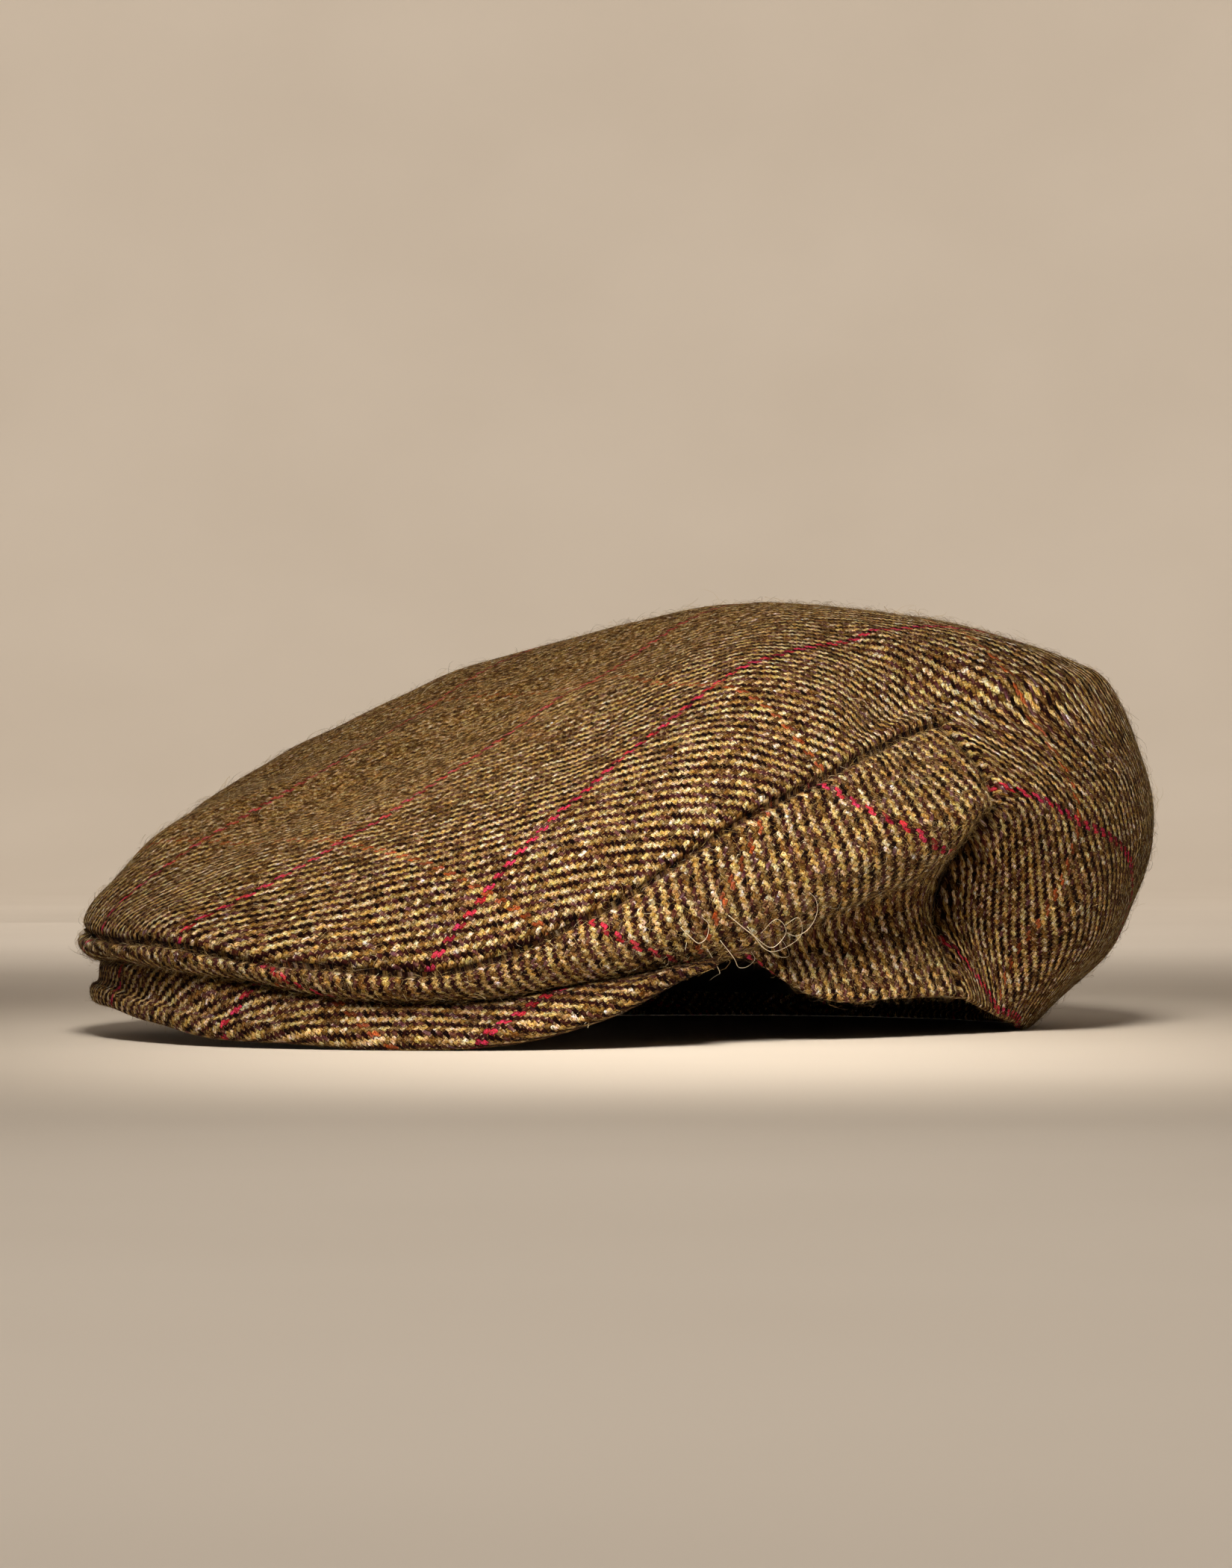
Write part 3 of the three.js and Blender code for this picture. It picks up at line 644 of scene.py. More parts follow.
def peak_crease(angle, level):
    """How dark the peak's cloth lies, as painted shade: above and below its edge, more towards the wearer's
    left, and painted shadow at both ends, which lie under the side panels."""
    deep = 0.55 * smoothstep(7.6, 6, level) + 0.6 * smoothstep(9.5, 11.5, level)
    deep = deep * (0.3 + 0.7 * smoothstep(-5, 25, angle))[:, None]
    return np.minimum(deep + 0.75 * smoothstep(38, 48, np.abs(angle))[:, None], 1)


def peak_cloth_map(angle, flat):
    """Cloth coordinates on the peak: laid flat along the top and turned over the edge."""
    steps = np.linalg.norm(np.diff(flat, axis=1), axis=-1)
    run = flat[:, :1, 0] + np.concatenate([np.zeros((len(angle), 1)), np.cumsum(steps, axis=1)], axis=1)
    turn = np.radians(angle)[:, None]
    ends = run * np.sin(turn) + PEAK_ENDS + END_PITCH
    picks = PEAK_PICKS - run * np.cos(turn) + PICK_PITCH
    return np.stack([ends, picks, 0 * run], axis=-1)


def peak_piece():
    """Peak: its section's smooth closed curve carried round the front, with both ends closed."""
    angle = np.linspace(-PEAK_END, PEAK_END, PEAK_STATIONS)
    knots = peak_section(angle)
    padded = np.concatenate([knots[:, -1:], knots, knots[:, :2]], axis=1)
    counts = [EDGE_POINTS if 5 <= k <= 11 else PLAIN_POINTS for k in range(knots.shape[1])]
    spans = [np.linspace(k, k + 1, count, endpoint=False) for k, count in enumerate(counts)]
    level = np.concatenate(spans)[None, :] + 0 * angle[:, None]
    flat = along(np.broadcast_to(padded[:, None], level.shape + padded.shape[1:]), level)
    points = place(angle[:, None] + 0 * level, flat[..., 0], flat[..., 1])
    height, length, seed = PEAK_UNEVEN
    uneven = height * slack(points, length, seed) * smoothstep(5.5, 7, level) * smoothstep(14, 12, level)
    points[..., 2] = np.maximum(points[..., 2] + uneven, LOWEST)
    stations, around = level.shape
    number = np.arange(stations * around).reshape(stations, around)
    ahead = np.roll(number, -1, axis=1)
    quads = np.stack([number[:-1], number[1:], ahead[1:], ahead[:-1]], axis=-1).reshape(-1, 4)[:, ::-1]
    faces = quads.tolist() + [number[0, ::-1].tolist(), number[-1].tolist()]
    cloth = peak_cloth_map(angle, flat).reshape(-1, 3)
    # Painted shade and shadow on the peak, kept as a mark
    crease = peak_crease(angle, level).ravel()
    piece = make_mesh("peak_tweed", points.reshape(-1, 3), faces, cloth=cloth, crease=crease)
    shown = (level[0] > EDGE_LEVELS[0]) & (level[0] < EDGE_LEVELS[1])
    return piece, points.transpose(1, 0, 2), np.repeat(shown[:-1, None], stations - 1, axis=1)


# Lining: thickness, distance from the crown, ease under the dome, and the grid's rows and columns to a side
LINING_CLOTH = 0.8
LINING_GAP = 2.8
LINING_EASE = 2.2
LINING_ROWS = 61
LINING_COLUMNS = 121
# Foot of the lining: its level, its distance beyond the gap, and the room at the temples with its angle and
# reach; then the least height of the belt over the rim
FOOT_LEVEL = 0.35
FOOT_GAP = 1.2
TEMPLE_ROOM = 2.0
TEMPLE_ANGLE = 55.0
TEMPLE_REACH = 12.0
BELT_RISE = 10.0


def lining_piece():
    """Lining: up from the hem, straight past the pocket above the peak and the bulge, then under the dome.
    Soft waves press it in."""
    half = np.linspace(0, 180, LINING_COLUMNS)
    angle = np.concatenate([half, -half[-2:0:-1]])

    def off_crown(level, distance):
        spot = np.full(angle.shape, level)
        point = smooth_crown(angle, spot) + outward(smooth_crown, angle, spot) * distance[..., None]
        return np.stack([np.hypot(point[:, 0], point[:, 1] - AXIS_Y), point[:, 2]], axis=-1)

    knots = crown_knots(angle)
    folds = [fold_depth(angle, np.full(angle.shape, level)) for level in (0.5, 1.0, 1.5, 2.0)]
    room = np.maximum(np.max(folds, axis=0), 0)
    temple = TEMPLE_ROOM * np.exp(-(((np.abs(angle) - TEMPLE_ANGLE) / TEMPLE_REACH) ** 2))
    foot = off_crown(FOOT_LEVEL, -LINING_GAP - FOOT_GAP - temple)
    belt = np.stack([np.minimum(knots[:, 0, 0], knots[:, 1, 0]) - LINING_GAP - room,
                     np.maximum(knots[:, 1, 1], knots[:, 0, 1] + BELT_RISE)], axis=-1)
    shoulder = off_crown(6.0, 0 * angle - LINING_GAP - 3 * LINING_EASE)
    between = np.stack([0.75 * belt[:, 0] + 0.25 * shoulder[:, 0],
                        0.5 * (belt[:, 1] + shoulder[:, 1])], axis=-1)
    upper = off_crown(7.0, 0 * angle - LINING_GAP - LINING_EASE)
    top = np.stack([0 * angle, 0 * angle + TOP_Z - LINING_GAP - LINING_EASE], axis=-1)
    path = capped(np.stack([foot, belt, between, shoulder, upper, top], axis=1))
    level = np.linspace(0, 5, LINING_ROWS)[:, None] + 0 * angle
    flat = along(np.broadcast_to(path[None], (LINING_ROWS,) + path.shape), level)
    points = place(np.broadcast_to(angle, level.shape), flat[..., 0], flat[..., 1])
    direction = grid_outward(points, True)
    depth, length, seed = LINING_UNEVEN
    wave = 0.5 + 0.5 * slack(points * np.array([1, 1, 0.5]), length, seed)
    points = points - direction * (depth * np.clip(wave, 0, 2) * smoothstep(0, 0.6, level))[..., None]
    kept = np.ones((LINING_ROWS - 1, len(angle)), dtype=bool)
    cloth = np.stack([points[..., 0], points[..., 2] + 0.5 * points[..., 1]], axis=-1)
    none = 0 * points[..., 0]
    return cloth_shell("lining_satin", points, kept, cloth, none, none, 0, LINING_CLOTH, True)


# Points along a loose fibre, and the range of its half width
FIBRE_POINTS = 6
FIBRE_WIDTH = (0.014, 0.036)


def wool_fibres(name, points, kept, count, seed, wrap, reach):
    """Loose wool on a panel. Each fibre starts in a cell picked by its area and runs along a random heading;
    its height is a bow plus a rising tip, and it curls sideways as a sine. It is a flat ribbon."""
    rng = np.random.default_rng(seed)
    right = np.roll(points, -1, axis=1) if wrap else points[:, 1:]
    left = points if wrap else points[:, :-1]
    corners = np.stack([left[:-1], right[:-1], right[1:], left[1:]], axis=2)[kept]
    cross = np.cross(corners[:, 2] - corners[:, 0], corners[:, 3] - corners[:, 1])
    area = np.linalg.norm(cross, axis=-1)
    cell = rng.choice(len(area), size=count, p=area / area.sum())
    a, b = rng.uniform(size=(2, count, 1))
    four = corners[cell]
    low = four[:, 0] * (1 - a) + four[:, 1] * a
    high = four[:, 3] * (1 - a) + four[:, 2] * a
    start = low * (1 - b) + high * b
    up = unit(cross[cell])
    heading = unit(np.cross(up, rng.normal(size=(count, 3))))
    sideways = np.cross(up, heading)
    length = reach * rng.lognormal(0, 0.45, (count, 1, 1))
    bow = rng.uniform(0.05, 0.35, (count, 1, 1))
    tip = rng.uniform(-0.1, 0.45, (count, 1, 1)) ** 3 * 6
    curl = rng.uniform(0.05, 0.3, (count, 1, 1))
    beat = rng.uniform(2, 8, (count, 1, 1))
    phase = rng.uniform(0, 2 * math.pi, (count, 1, 1))
    s = np.linspace(0, 1, FIBRE_POINTS)[None, :, None]
    path = heading[:, None] * length * (s - 0.5)
    path = path + up[:, None] * length * (bow * np.sin(math.pi * s) + tip * s * s - 0.02)
    path = start[:, None] + path + sideways[:, None] * length * curl * np.sin(beat * s + phase)
    run = np.gradient(path, axis=1)
    flat = unit(np.cross(run, rng.normal(size=(count, 1, 3))))
    width = rng.uniform(*FIBRE_WIDTH, (count, 1, 1)) * (1 - 0.7 * s ** 2)
    ribbon = np.stack([path - flat * width, path + flat * width], axis=2)
    ribbon[..., 2] = np.maximum(ribbon[..., 2], LOWEST)
    number = np.arange(count * FIBRE_POINTS * 2).reshape(count, FIBRE_POINTS, 2)
    quads = np.stack([number[:, :-1, 0], number[:, :-1, 1], number[:, 1:, 1], number[:, 1:, 0]], axis=-1)
    tint = np.repeat(rng.uniform(size=count) ** 1.5, FIBRE_POINTS * 2)
    return make_mesh(name, ribbon.reshape(-1, 3), quads.reshape(-1, 4).tolist(), tint=tint)


# Stray hairs by the left end of the peak: six knots each, with angle, level and height off the cloth
STRAY_HAIRS = np.array([
    [[50.5, 2.8, 0.2], [52.6, 2.4, 2.0], [55, 2.0, 2.6],
     [56.6, 2.2, 1.8], [55.4, 2.5, 1.3], [53.8, 2.3, 0.8]],
    [[52.4, 2.5, 0.3], [54.5, 1.9, 2.4], [57, 1.7, 3.0],
     [58.6, 2.0, 2.4], [58, 2.4, 1.6], [56.6, 2.3, 1.0]],
    [[57.4, 2.0, 0.3], [58.4, 1.9, 1.6], [59.6, 2.1, 2.2],
     [60.4, 2.4, 2.0], [60.2, 2.6, 1.2], [59.6, 2.7, 0.4]],
    [[46, 2.9, 0.2], [46.6, 2.7, 1.3], [47.3, 2.55, 1.6],
     [48.1, 2.6, 1.2], [48.4, 2.8, 0.7], [47.9, 2.95, 0.2]],
    [[48.3, 2.3, 0.2], [48.7, 2.0, 1.6], [49.1, 1.7, 2.8],
     [49.0, 1.3, 3.8], [48.6, 1.0, 4.4], [48.2, 0.8, 5.4]],
    [[53.4, 2.1, 0.3], [55, 1.2, 2.2], [56.4, 0.7, 3.2],
     [57.6, 0.7, 3.0], [58, 1.0, 2.0], [57.2, 1.2, 1.2]],
    [[49.6, 2.4, 0.2], [50.6, 2.0, 1.8], [51.2, 1.6, 3.2],
     [52.2, 1.4, 3.6], [53, 1.7, 2.8], [52.6, 2.0, 1.8]],
])
# Points along a hair and its radius at the root
HAIR_STATIONS = 41
HAIR_RADIUS = 0.085


def stray_hairs():
    """Curled hairs: a smooth curve through each hair's knots, carried as a thin square tube."""
    angle, level, off = np.moveaxis(STRAY_HAIRS, -1, 0)
    knots = crown_cloth(angle, level) + outward(smooth_crown, angle, level) * off[..., None]
    first = 2 * knots[:, :1] - knots[:, 1:2]
    last = 2 * knots[:, -1:] - knots[:, -2:-1]
    padded = np.concatenate([first, knots, last], axis=1)
    hairs, stations = len(knots), HAIR_STATIONS
    last_knot = knots.shape[1] - 1
    at = np.broadcast_to(np.linspace(0, last_knot, stations), (hairs, stations))
    path = along(np.broadcast_to(padded[:, None], (hairs, stations) + padded.shape[1:]), at)
    run = unit(np.gradient(path, axis=1))
    aside = unit(np.cross(run, np.array([0.3, 0.2, 1.0])))
    above = np.cross(aside, run)
    radius = HAIR_RADIUS * (1 - 0.6 * (at[..., None] / last_knot) ** 2)
    sides = [aside, above, -aside, -above]
    tube = np.stack([path + radius * side for side in sides], axis=2)
    number = np.arange(hairs * stations * 4).reshape(hairs, stations, 4)
    ahead = np.roll(number, -1, axis=2)
    quads = np.stack([number[:, :-1], ahead[:, :-1], ahead[:, 1:], number[:, 1:]], axis=-1).reshape(-1, 4)
    ends = number[:, 0, ::-1].tolist() + number[:, -1].tolist()
    tint = np.ones(hairs * stations * 4)
    return make_mesh("stray_hairs", tube.reshape(-1, 3), quads.tolist() + ends, tint=tint)


def connect(tree, value, socket):
    """Links a socket, or sets a plain value."""
    if isinstance(value, bpy.types.NodeSocket):
        tree.links.new(value, socket)
    else:
        socket.default_value = value


def calc(tree, operation, *values):
    """Result of one sum on sockets or numbers."""
    node = tree.nodes.new("ShaderNodeMath")
    node.operation = operation
    for value, socket in zip(values, node.inputs):
        connect(tree, value, socket)
    return node.outputs[0]


def vector_calc(tree, operation, *values):
    """Result of one sum on vectors or colours."""
    node = tree.nodes.new("ShaderNodeVectorMath")
    node.operation = operation
    for value, socket in zip(values, node.inputs):
        connect(tree, value, socket)
    return node.outputs[0]


def split(tree, vector):
    """The three parts of a vector or colour."""
    node = tree.nodes.new("ShaderNodeSeparateXYZ")
    tree.links.new(vector, node.inputs[0])
    return node.outputs


def join(tree, *parts):
    """Vector from its three parts."""
    node = tree.nodes.new("ShaderNodeCombineXYZ")
    for part, socket in zip(parts, node.inputs):
        connect(tree, part, socket)
    return node.outputs[0]


def pick_colour(tree, share, low, high):
    """Colour from low to high by a share; the node's colours are its inputs 6 and 7 and its output 2."""
    node = tree.nodes.new("ShaderNodeMix")
    node.data_type = "RGBA"
    connect(tree, share, node.inputs[0])
    connect(tree, low, node.inputs[6])
    connect(tree, high, node.inputs[7])
    return node.outputs[2]


def grain_noise(tree, vector, scale, detail):
    """Soft noise over a vector, about 0 to 1; returns its value and its colour."""
    node = tree.nodes.new("ShaderNodeTexNoise")
    connect(tree, vector, node.inputs["Vector"])
    node.inputs["Scale"].default_value = scale
    node.inputs["Detail"].default_value = detail
    return node.outputs["Fac"], node.outputs["Color"]


def own_noise(tree, vector):
    """Number and colour drawn once for each vector."""
    node = tree.nodes.new("ShaderNodeTexWhiteNoise")
    node.noise_dimensions = "3D"
    tree.links.new(vector, node.inputs["Vector"])
    return node.outputs["Value"], node.outputs["Color"]


def stretch(tree, value, low, high):
    """Value brought from low and high to 0 and 1, smoothly, and held there."""
    node = tree.nodes.new("ShaderNodeMapRange")
    node.interpolation_type = "SMOOTHSTEP"
    connect(tree, value, node.inputs["Value"])
    node.inputs["From Min"].default_value = low
    node.inputs["From Max"].default_value = high
    return node.outputs["Result"]


def ramp(tree, value, stops):
    """Colour ramp with the given stops."""
    node = tree.nodes.new("ShaderNodeValToRGB")
    connect(tree, value, node.inputs["Fac"])
    elements = node.color_ramp.elements
    while len(elements) < len(stops):
        elements.new(0.5)
    for element, (position, colour) in zip(elements, stops):
        element.position = position
        element.color = (*colour, 1)
    return node.outputs["Color"]


def start_finish(name, roughness):
    """Material with a shader and an output; returns material, tree and shader."""
    material = bpy.data.materials.new(name)
    material.use_nodes = True
    tree = material.node_tree
    tree.nodes.clear()
    output = tree.nodes.new("ShaderNodeOutputMaterial")
    shader = tree.nodes.new("ShaderNodeBsdfPrincipled")
    tree.links.new(shader.outputs["BSDF"], output.inputs["Surface"])
    shader.inputs["Roughness"].default_value = roughness
    return material, tree, shader


def mark(tree, name, field="Fac"):
    """A mark on a piece's points, as a number or as a vector."""
    node = tree.nodes.new("ShaderNodeAttribute")
    node.attribute_name = name
    return node.outputs[field]


def add_bump(tree, shader, height, strength, distance):
    """Fine relief on a finish, its distance in millimetres."""
    node = tree.nodes.new("ShaderNodeBump")
    node.inputs["Strength"].default_value = strength
    node.inputs["Distance"].default_value = distance * MM
    tree.links.new(height, node.inputs["Height"])
    tree.links.new(node.outputs["Normal"], shader.inputs["Normal"])


# How far the yarns drift in long waves and shake in short ones, in millimetres, and the number below which a
# yarn is in a check line, which is two yarns wide
DRIFT = 1.6
SHAKE = 1.0
CHECK_LIMIT = 1.5
# Colours of the wool, satin and stage, each with its place in a ramp, and colours of single flecks
LIGHT_WOOL = (
    (0.28, (0.180, 0.094, 0.020)),
    (0.43, (0.370, 0.222, 0.058)),
    (0.57, (0.570, 0.380, 0.130)),
    (0.74, (0.820, 0.640, 0.370)),
)
DARK_WOOL = (
    (0.28, (0.006, 0.0018, 0.0024)),
    (0.50, (0.020, 0.006, 0.007)),
    (0.64, (0.052, 0.018, 0.018)),
    (0.80, (0.140, 0.070, 0.058)),
)
# Matted wool of the nap, its colours darkened in part as painted shade on the dome
MATTED_WOOL_AND_SHADE = (
    (0.38, (0.030, 0.013, 0.005)),
    (0.47, (0.150, 0.085, 0.022)),
    (0.54, (0.380, 0.245, 0.070)),
    (0.63, (0.780, 0.600, 0.290)),
)
LOOSE_WOOL = (
    (0.0, (0.050, 0.026, 0.016)),
    (0.30, (0.150, 0.086, 0.028)),
    (0.60, (0.360, 0.230, 0.066)),
    (0.90, (0.560, 0.410, 0.175)),
    (1.0, (0.740, 0.650, 0.480)),
)
RED_WOOL = ((0.3, (0.34, 0.007, 0.020)), (0.7, (0.80, 0.055, 0.095)))
RUST_WOOL = ((0.3, (0.24, 0.042, 0.010)), (0.7, (0.54, 0.135, 0.040)))
PALE_FLECK = (0.76, 0.61, 0.38, 1)
MOSS_FLECK = (0.170, 0.135, 0.030, 1)
WINE_FLECK = (0.042, 0.013, 0.010, 1)
DARK_SATIN = ((0.3, (0.012, 0.008, 0.011)), (0.7, (0.030, 0.020, 0.026)))
PALE_STAGE = ((0.3, (0.66, 0.59, 0.51)), (0.7, (0.69, 0.62, 0.54)))


class Twill:
    """Two-and-two twill on cloth coordinates that drift and shake a little: the numbers of the end and the
    pick, which of the two is on top, the place on its float, and the dyed ends and picks of the check."""

    def __init__(self, tree, cloth):
        self.tree = tree
        _, drift = grain_noise(tree, cloth, 0.07, 2)
        _, shake = grain_noise(tree, cloth, 0.9, 2)
        moved = vector_calc(tree, "MULTIPLY_ADD", drift, (DRIFT, DRIFT, 0), cloth)
        moved = vector_calc(tree, "MULTIPLY_ADD", shake, (SHAKE, SHAKE, 0), moved)
        self.woven = split(tree, moved)
        mean = (DRIFT + SHAKE) / 2
        ends = calc(tree, "DIVIDE", calc(tree, "SUBTRACT", self.woven[0], mean), END_PITCH)
        picks = calc(tree, "DIVIDE", calc(tree, "SUBTRACT", self.woven[1], mean), PICK_PITCH)
        end_share = calc(tree, "FRACT", ends)
        pick_share = calc(tree, "FRACT", picks)
        self.end_number = calc(tree, "FLOOR", ends)
        self.pick_number = calc(tree, "FLOOR", picks)
        self.red_end = self.dyed(self.end_number, CHECK_ENDS)
        self.rust_pick = self.dyed(self.pick_number, CHECK_PICKS)
        self.crossing = calc(tree, "SUBTRACT", self.end_number, self.pick_number)
        order = calc(tree, "FLOORED_MODULO", self.crossing, 4.0)
        self.warp_up = calc(tree, "LESS_THAN", order, 1.5)
        warp_run = calc(tree, "ADD", calc(tree, "SUBTRACT", 1.0, order), pick_share)
        weft_run = calc(tree, "ADD", calc(tree, "SUBTRACT", order, 2.0), end_share)
        run = self.on_top(calc(tree, "MULTIPLY", warp_run, 0.5), calc(tree, "MULTIPLY", weft_run, 0.5))
        self.middle = calc(tree, "SUBTRACT", run, 0.5)
        self.across = self.on_top(end_share, pick_share)

    def dyed(self, number, spacing):
        """1 on the yarns of a check line, which come back at a spacing, and 0 elsewhere."""
        within = calc(self.tree, "FLOORED_MODULO", number, spacing)
        return calc(self.tree, "LESS_THAN", within, CHECK_LIMIT)

    def on_top(self, warp, weft):
        """The warp's value where the warp is on top, and the weft's elsewhere."""
        gain = calc(self.tree, "SUBTRACT", warp, weft)
        return calc(self.tree, "ADD", weft, calc(self.tree, "MULTIPLY", self.warp_up, gain))

    def grain(self):
        """Height of a float, which is round across, leans a little and is rounded off at its tips, and the
        nearness to a tip."""
        tree = self.tree
        lean = calc(tree, "MULTIPLY_ADD", self.middle, -0.3, self.across)
        side = calc(tree, "MULTIPLY_ADD", lean, 2.0, -1.0)
        round_side = calc(tree, "SUBTRACT", 1.0, calc(tree, "POWER", calc(tree, "ABSOLUTE", side), 2.0))
        tip = calc(tree, "POWER", calc(tree, "ABSOLUTE", calc(tree, "MULTIPLY", self.middle, 2.0)), 3.0)
        round_tip = calc(tree, "MULTIPLY_ADD", tip, -0.85, 1.0)
        return calc(tree, "MAXIMUM", calc(tree, "MULTIPLY", round_side, round_tip), 0.0), tip

    def float_number(self):
        """Vector that is each float's own: its yarn's number, its row and whether it is warp."""
        warp_row = calc(self.tree, "MULTIPLY_ADD", self.crossing, -0.25, 0.25)
        weft_row = calc(self.tree, "MULTIPLY_ADD", self.crossing, 0.25, -0.5)
        row = calc(self.tree, "FLOOR", self.on_top(warp_row, weft_row))
        return join(self.tree, self.on_top(self.end_number, self.pick_number), row, self.warp_up)

    def twist(self):
        """Coordinates of the fibres, which slant round the yarn."""
        along_yarn = self.on_top(self.woven[1], self.woven[0])
        across_yarn = self.on_top(self.woven[0], self.woven[1])
        around = calc(self.tree, "MULTIPLY", across_yarn, 5.5)
        slant = calc(self.tree, "MULTIPLY_ADD", along_yarn, 2.4, around)
        return join(self.tree, slant, along_yarn, self.warp_up)


def spotted(tree, colour, spot_colour, value, low, high, most):
    """Colour that gives way to another, at most by a share, where a value runs from low to high."""
    share = calc(tree, "MULTIPLY", stretch(tree, value, low, high), most)
    return pick_colour(tree, share, colour, spot_colour)


def yarn_colour(tree, twill, tip, own, mottle, fine, flecks):
    """Colour of the yarn on top: light warp or dark weft, dyed in the check lines, with pale, mossy and wine
    flecks, and with light wool over the tips of the weft."""
    light = ramp(tree, calc(tree, "MULTIPLY_ADD", own, 0.24, mottle), LIGHT_WOOL)
    light = spotted(tree, light, PALE_FLECK, flecks[0], 0.58, 0.66, 0.5)
    light = spotted(tree, light, MOSS_FLECK, flecks[1], 0.58, 0.66, 0.6)
    dark = ramp(tree, calc(tree, "MULTIPLY_ADD", own, 0.55, mottle), DARK_WOOL)
    warp = pick_colour(tree, twill.red_end, light, ramp(tree, fine, RED_WOOL))
    weft = pick_colour(tree, twill.rust_pick, dark, ramp(tree, fine, RUST_WOOL))
    weft = spotted(tree, weft, light, tip, 0.25, 0.55, 0.75)
    colour = pick_colour(tree, twill.warp_up, weft, warp)
    return spotted(tree, colour, WINE_FLECK, flecks[2], 0.53, 0.61, 0.75)


def cloth_shade(tree, twill, grain, raised, dye, fibre, patch):
    """Lightness of the cloth: painted shade between the floats, a level nearer the middle in raised nap, and
    changes by the dye of a float, its fibres, broad patches and the painted shade of seams and creases, each
    times a gain plus a base."""
    # Painted shade between the floats: darkest in the gaps, and deeper on the weft than on the warp
    round_float = stretch(tree, grain, 0.0, 0.4)
    shade = calc(tree, "MULTIPLY_ADD", round_float, twill.on_top(0.72, 0.86), twill.on_top(0.28, 0.14))
    # In the nap the shade goes towards one lower level: matted wool, and partly painted shade
    shade = calc(tree, "MULTIPLY_ADD", raised, calc(tree, "SUBTRACT", 0.64, shade), shade)
    worn = stretch(tree, dye, 0.0, 0.65)
    # Painted shade of the seams, creases and peak darkens the cloth
    crease = mark(tree, "crease")
    changes = ((worn, 0.68, 0.4), (fibre, 2.2, -0.05), (patch, 0.4, 0.8), (crease, -0.85, 1.0))
    for value, gain, base in changes:
        shade = calc(tree, "MULTIPLY", shade, calc(tree, "MULTIPLY_ADD", value, gain, base))
    return shade


def wool_hue(tree, cloth, tone, dye_colour):
    """Tone with its hue: redder where it is darker than the middle tone, as painted light bounced within the
    wool that also tints the painted shade, and paler where it is lighter, and varied by float and by strand,
    each as a range raised to a power about 0."""
    depth = calc(tree, "DIVIDE", split(tree, tone)[0], MIDDLE_TONE)
    _, hues = grain_noise(tree, cloth, 1.3, 3)
    strand = split(tree, hues)
    batch = split(tree, dye_colour)

    def varied(channel, float_range, strand_range):
        by_float = calc(tree, "POWER", float_range, calc(tree, "SUBTRACT", batch[channel], 0.5))
        by_strand = calc(tree, "POWER", strand_range, calc(tree, "SUBTRACT", strand[channel], 0.5))
        return calc(tree, "MULTIPLY", by_float, by_strand)

    coolness = varied(2, 2.2, 14.0)
    green = calc(tree, "MULTIPLY", calc(tree, "POWER", depth, 0.17), 0.96)
    green = calc(tree, "MULTIPLY", green, calc(tree, "POWER", coolness, 0.15))
    blue = calc(tree, "MULTIPLY", calc(tree, "POWER", depth, 0.29), coolness)
    return vector_calc(tree, "MULTIPLY", tone, join(tree, varied(1, 1.2, 2.2), green, blue))


def tweed_finish():
    """Checked tweed: a twill of a light warp and a dark weft, whose floats are small rounded grains with
    painted shade between them. Where a piece is marked with nap, specks of matted wool cover the weave,
    partly darkened as painted shade, and painted shade darkens the seams, creases and peak where a piece is
    marked for it."""
    material, tree, shader = start_finish("checked_tweed", 0.92)
    shader.inputs["Specular IOR Level"].default_value = 0.06
    cloth = mark(tree, "cloth", "Vector")
    twill = Twill(tree, cloth)
    grain, tip = twill.grain()
    dye, dye_colour = own_noise(tree, twill.float_number())
    own = calc(tree, "SUBTRACT", dye, 0.5)
    mottle, _ = grain_noise(tree, cloth, 0.8, 4)
    fine, flecks = grain_noise(tree, cloth, 2.2, 3)
    patch, _ = grain_noise(tree, cloth, 0.035, 2)
    fibre, _ = grain_noise(tree, twill.twist(), 1.3, 3)
    colour = yarn_colour(tree, twill, tip, own, mottle, fine, split(tree, flecks))
    raised = calc(tree, "MULTIPLY", mark(tree, "nap"), 0.76)
    speckle = calc(tree, "MULTIPLY_ADD", mottle, 0.6, calc(tree, "MULTIPLY", fine, 0.4))
    undyed = calc(tree, "MULTIPLY_ADD", twill.on_top(twill.red_end, twill.rust_pick), -0.6, 1.0)
    matted = calc(tree, "MULTIPLY", raised, undyed)
    colour = pick_colour(tree, matted, colour, ramp(tree, speckle, MATTED_WOOL_AND_SHADE))
    shade = cloth_shade(tree, twill, grain, raised, dye, fibre, patch)
    tone = vector_calc(tree, "MULTIPLY", colour, shade)
    tree.links.new(wool_hue(tree, cloth, tone, dye_colour), shader.inputs["Base Color"])
    relief = calc(tree, "MULTIPLY", calc(tree, "SQRT", grain), calc(tree, "SUBTRACT", 1.0, raised))
    add_bump(tree, shader, calc(tree, "ADD", relief, calc(tree, "MULTIPLY", fibre, 0.8)), 1.0, 0.55)
    return material


def satin_finish():
    """Dark satin: fine weave lines, soft blotches and a low sheen."""
    material, tree, shader = start_finish("dark_satin", 0.42)
    shader.inputs["Sheen Weight"].default_value = 0.15
    cloth = mark(tree, "cloth", "Vector")
    weave = tree.nodes.new("ShaderNodeTexWave")
    weave.inputs["Scale"].default_value = 1.3
    weave.inputs["Distortion"].default_value = 0.6
    tree.links.new(cloth, weave.inputs["Vector"])
    blotch, _ = grain_noise(tree, cloth, 0.06, 3)
    tree.links.new(ramp(tree, blotch, DARK_SATIN), shader.inputs["Base Color"])
    tree.links.new(calc(tree, "MULTIPLY_ADD", blotch, 0.3, 0.3), shader.inputs["Roughness"])
    add_bump(tree, shader, weave.outputs["Fac"], 0.4, 0.05)
    return material


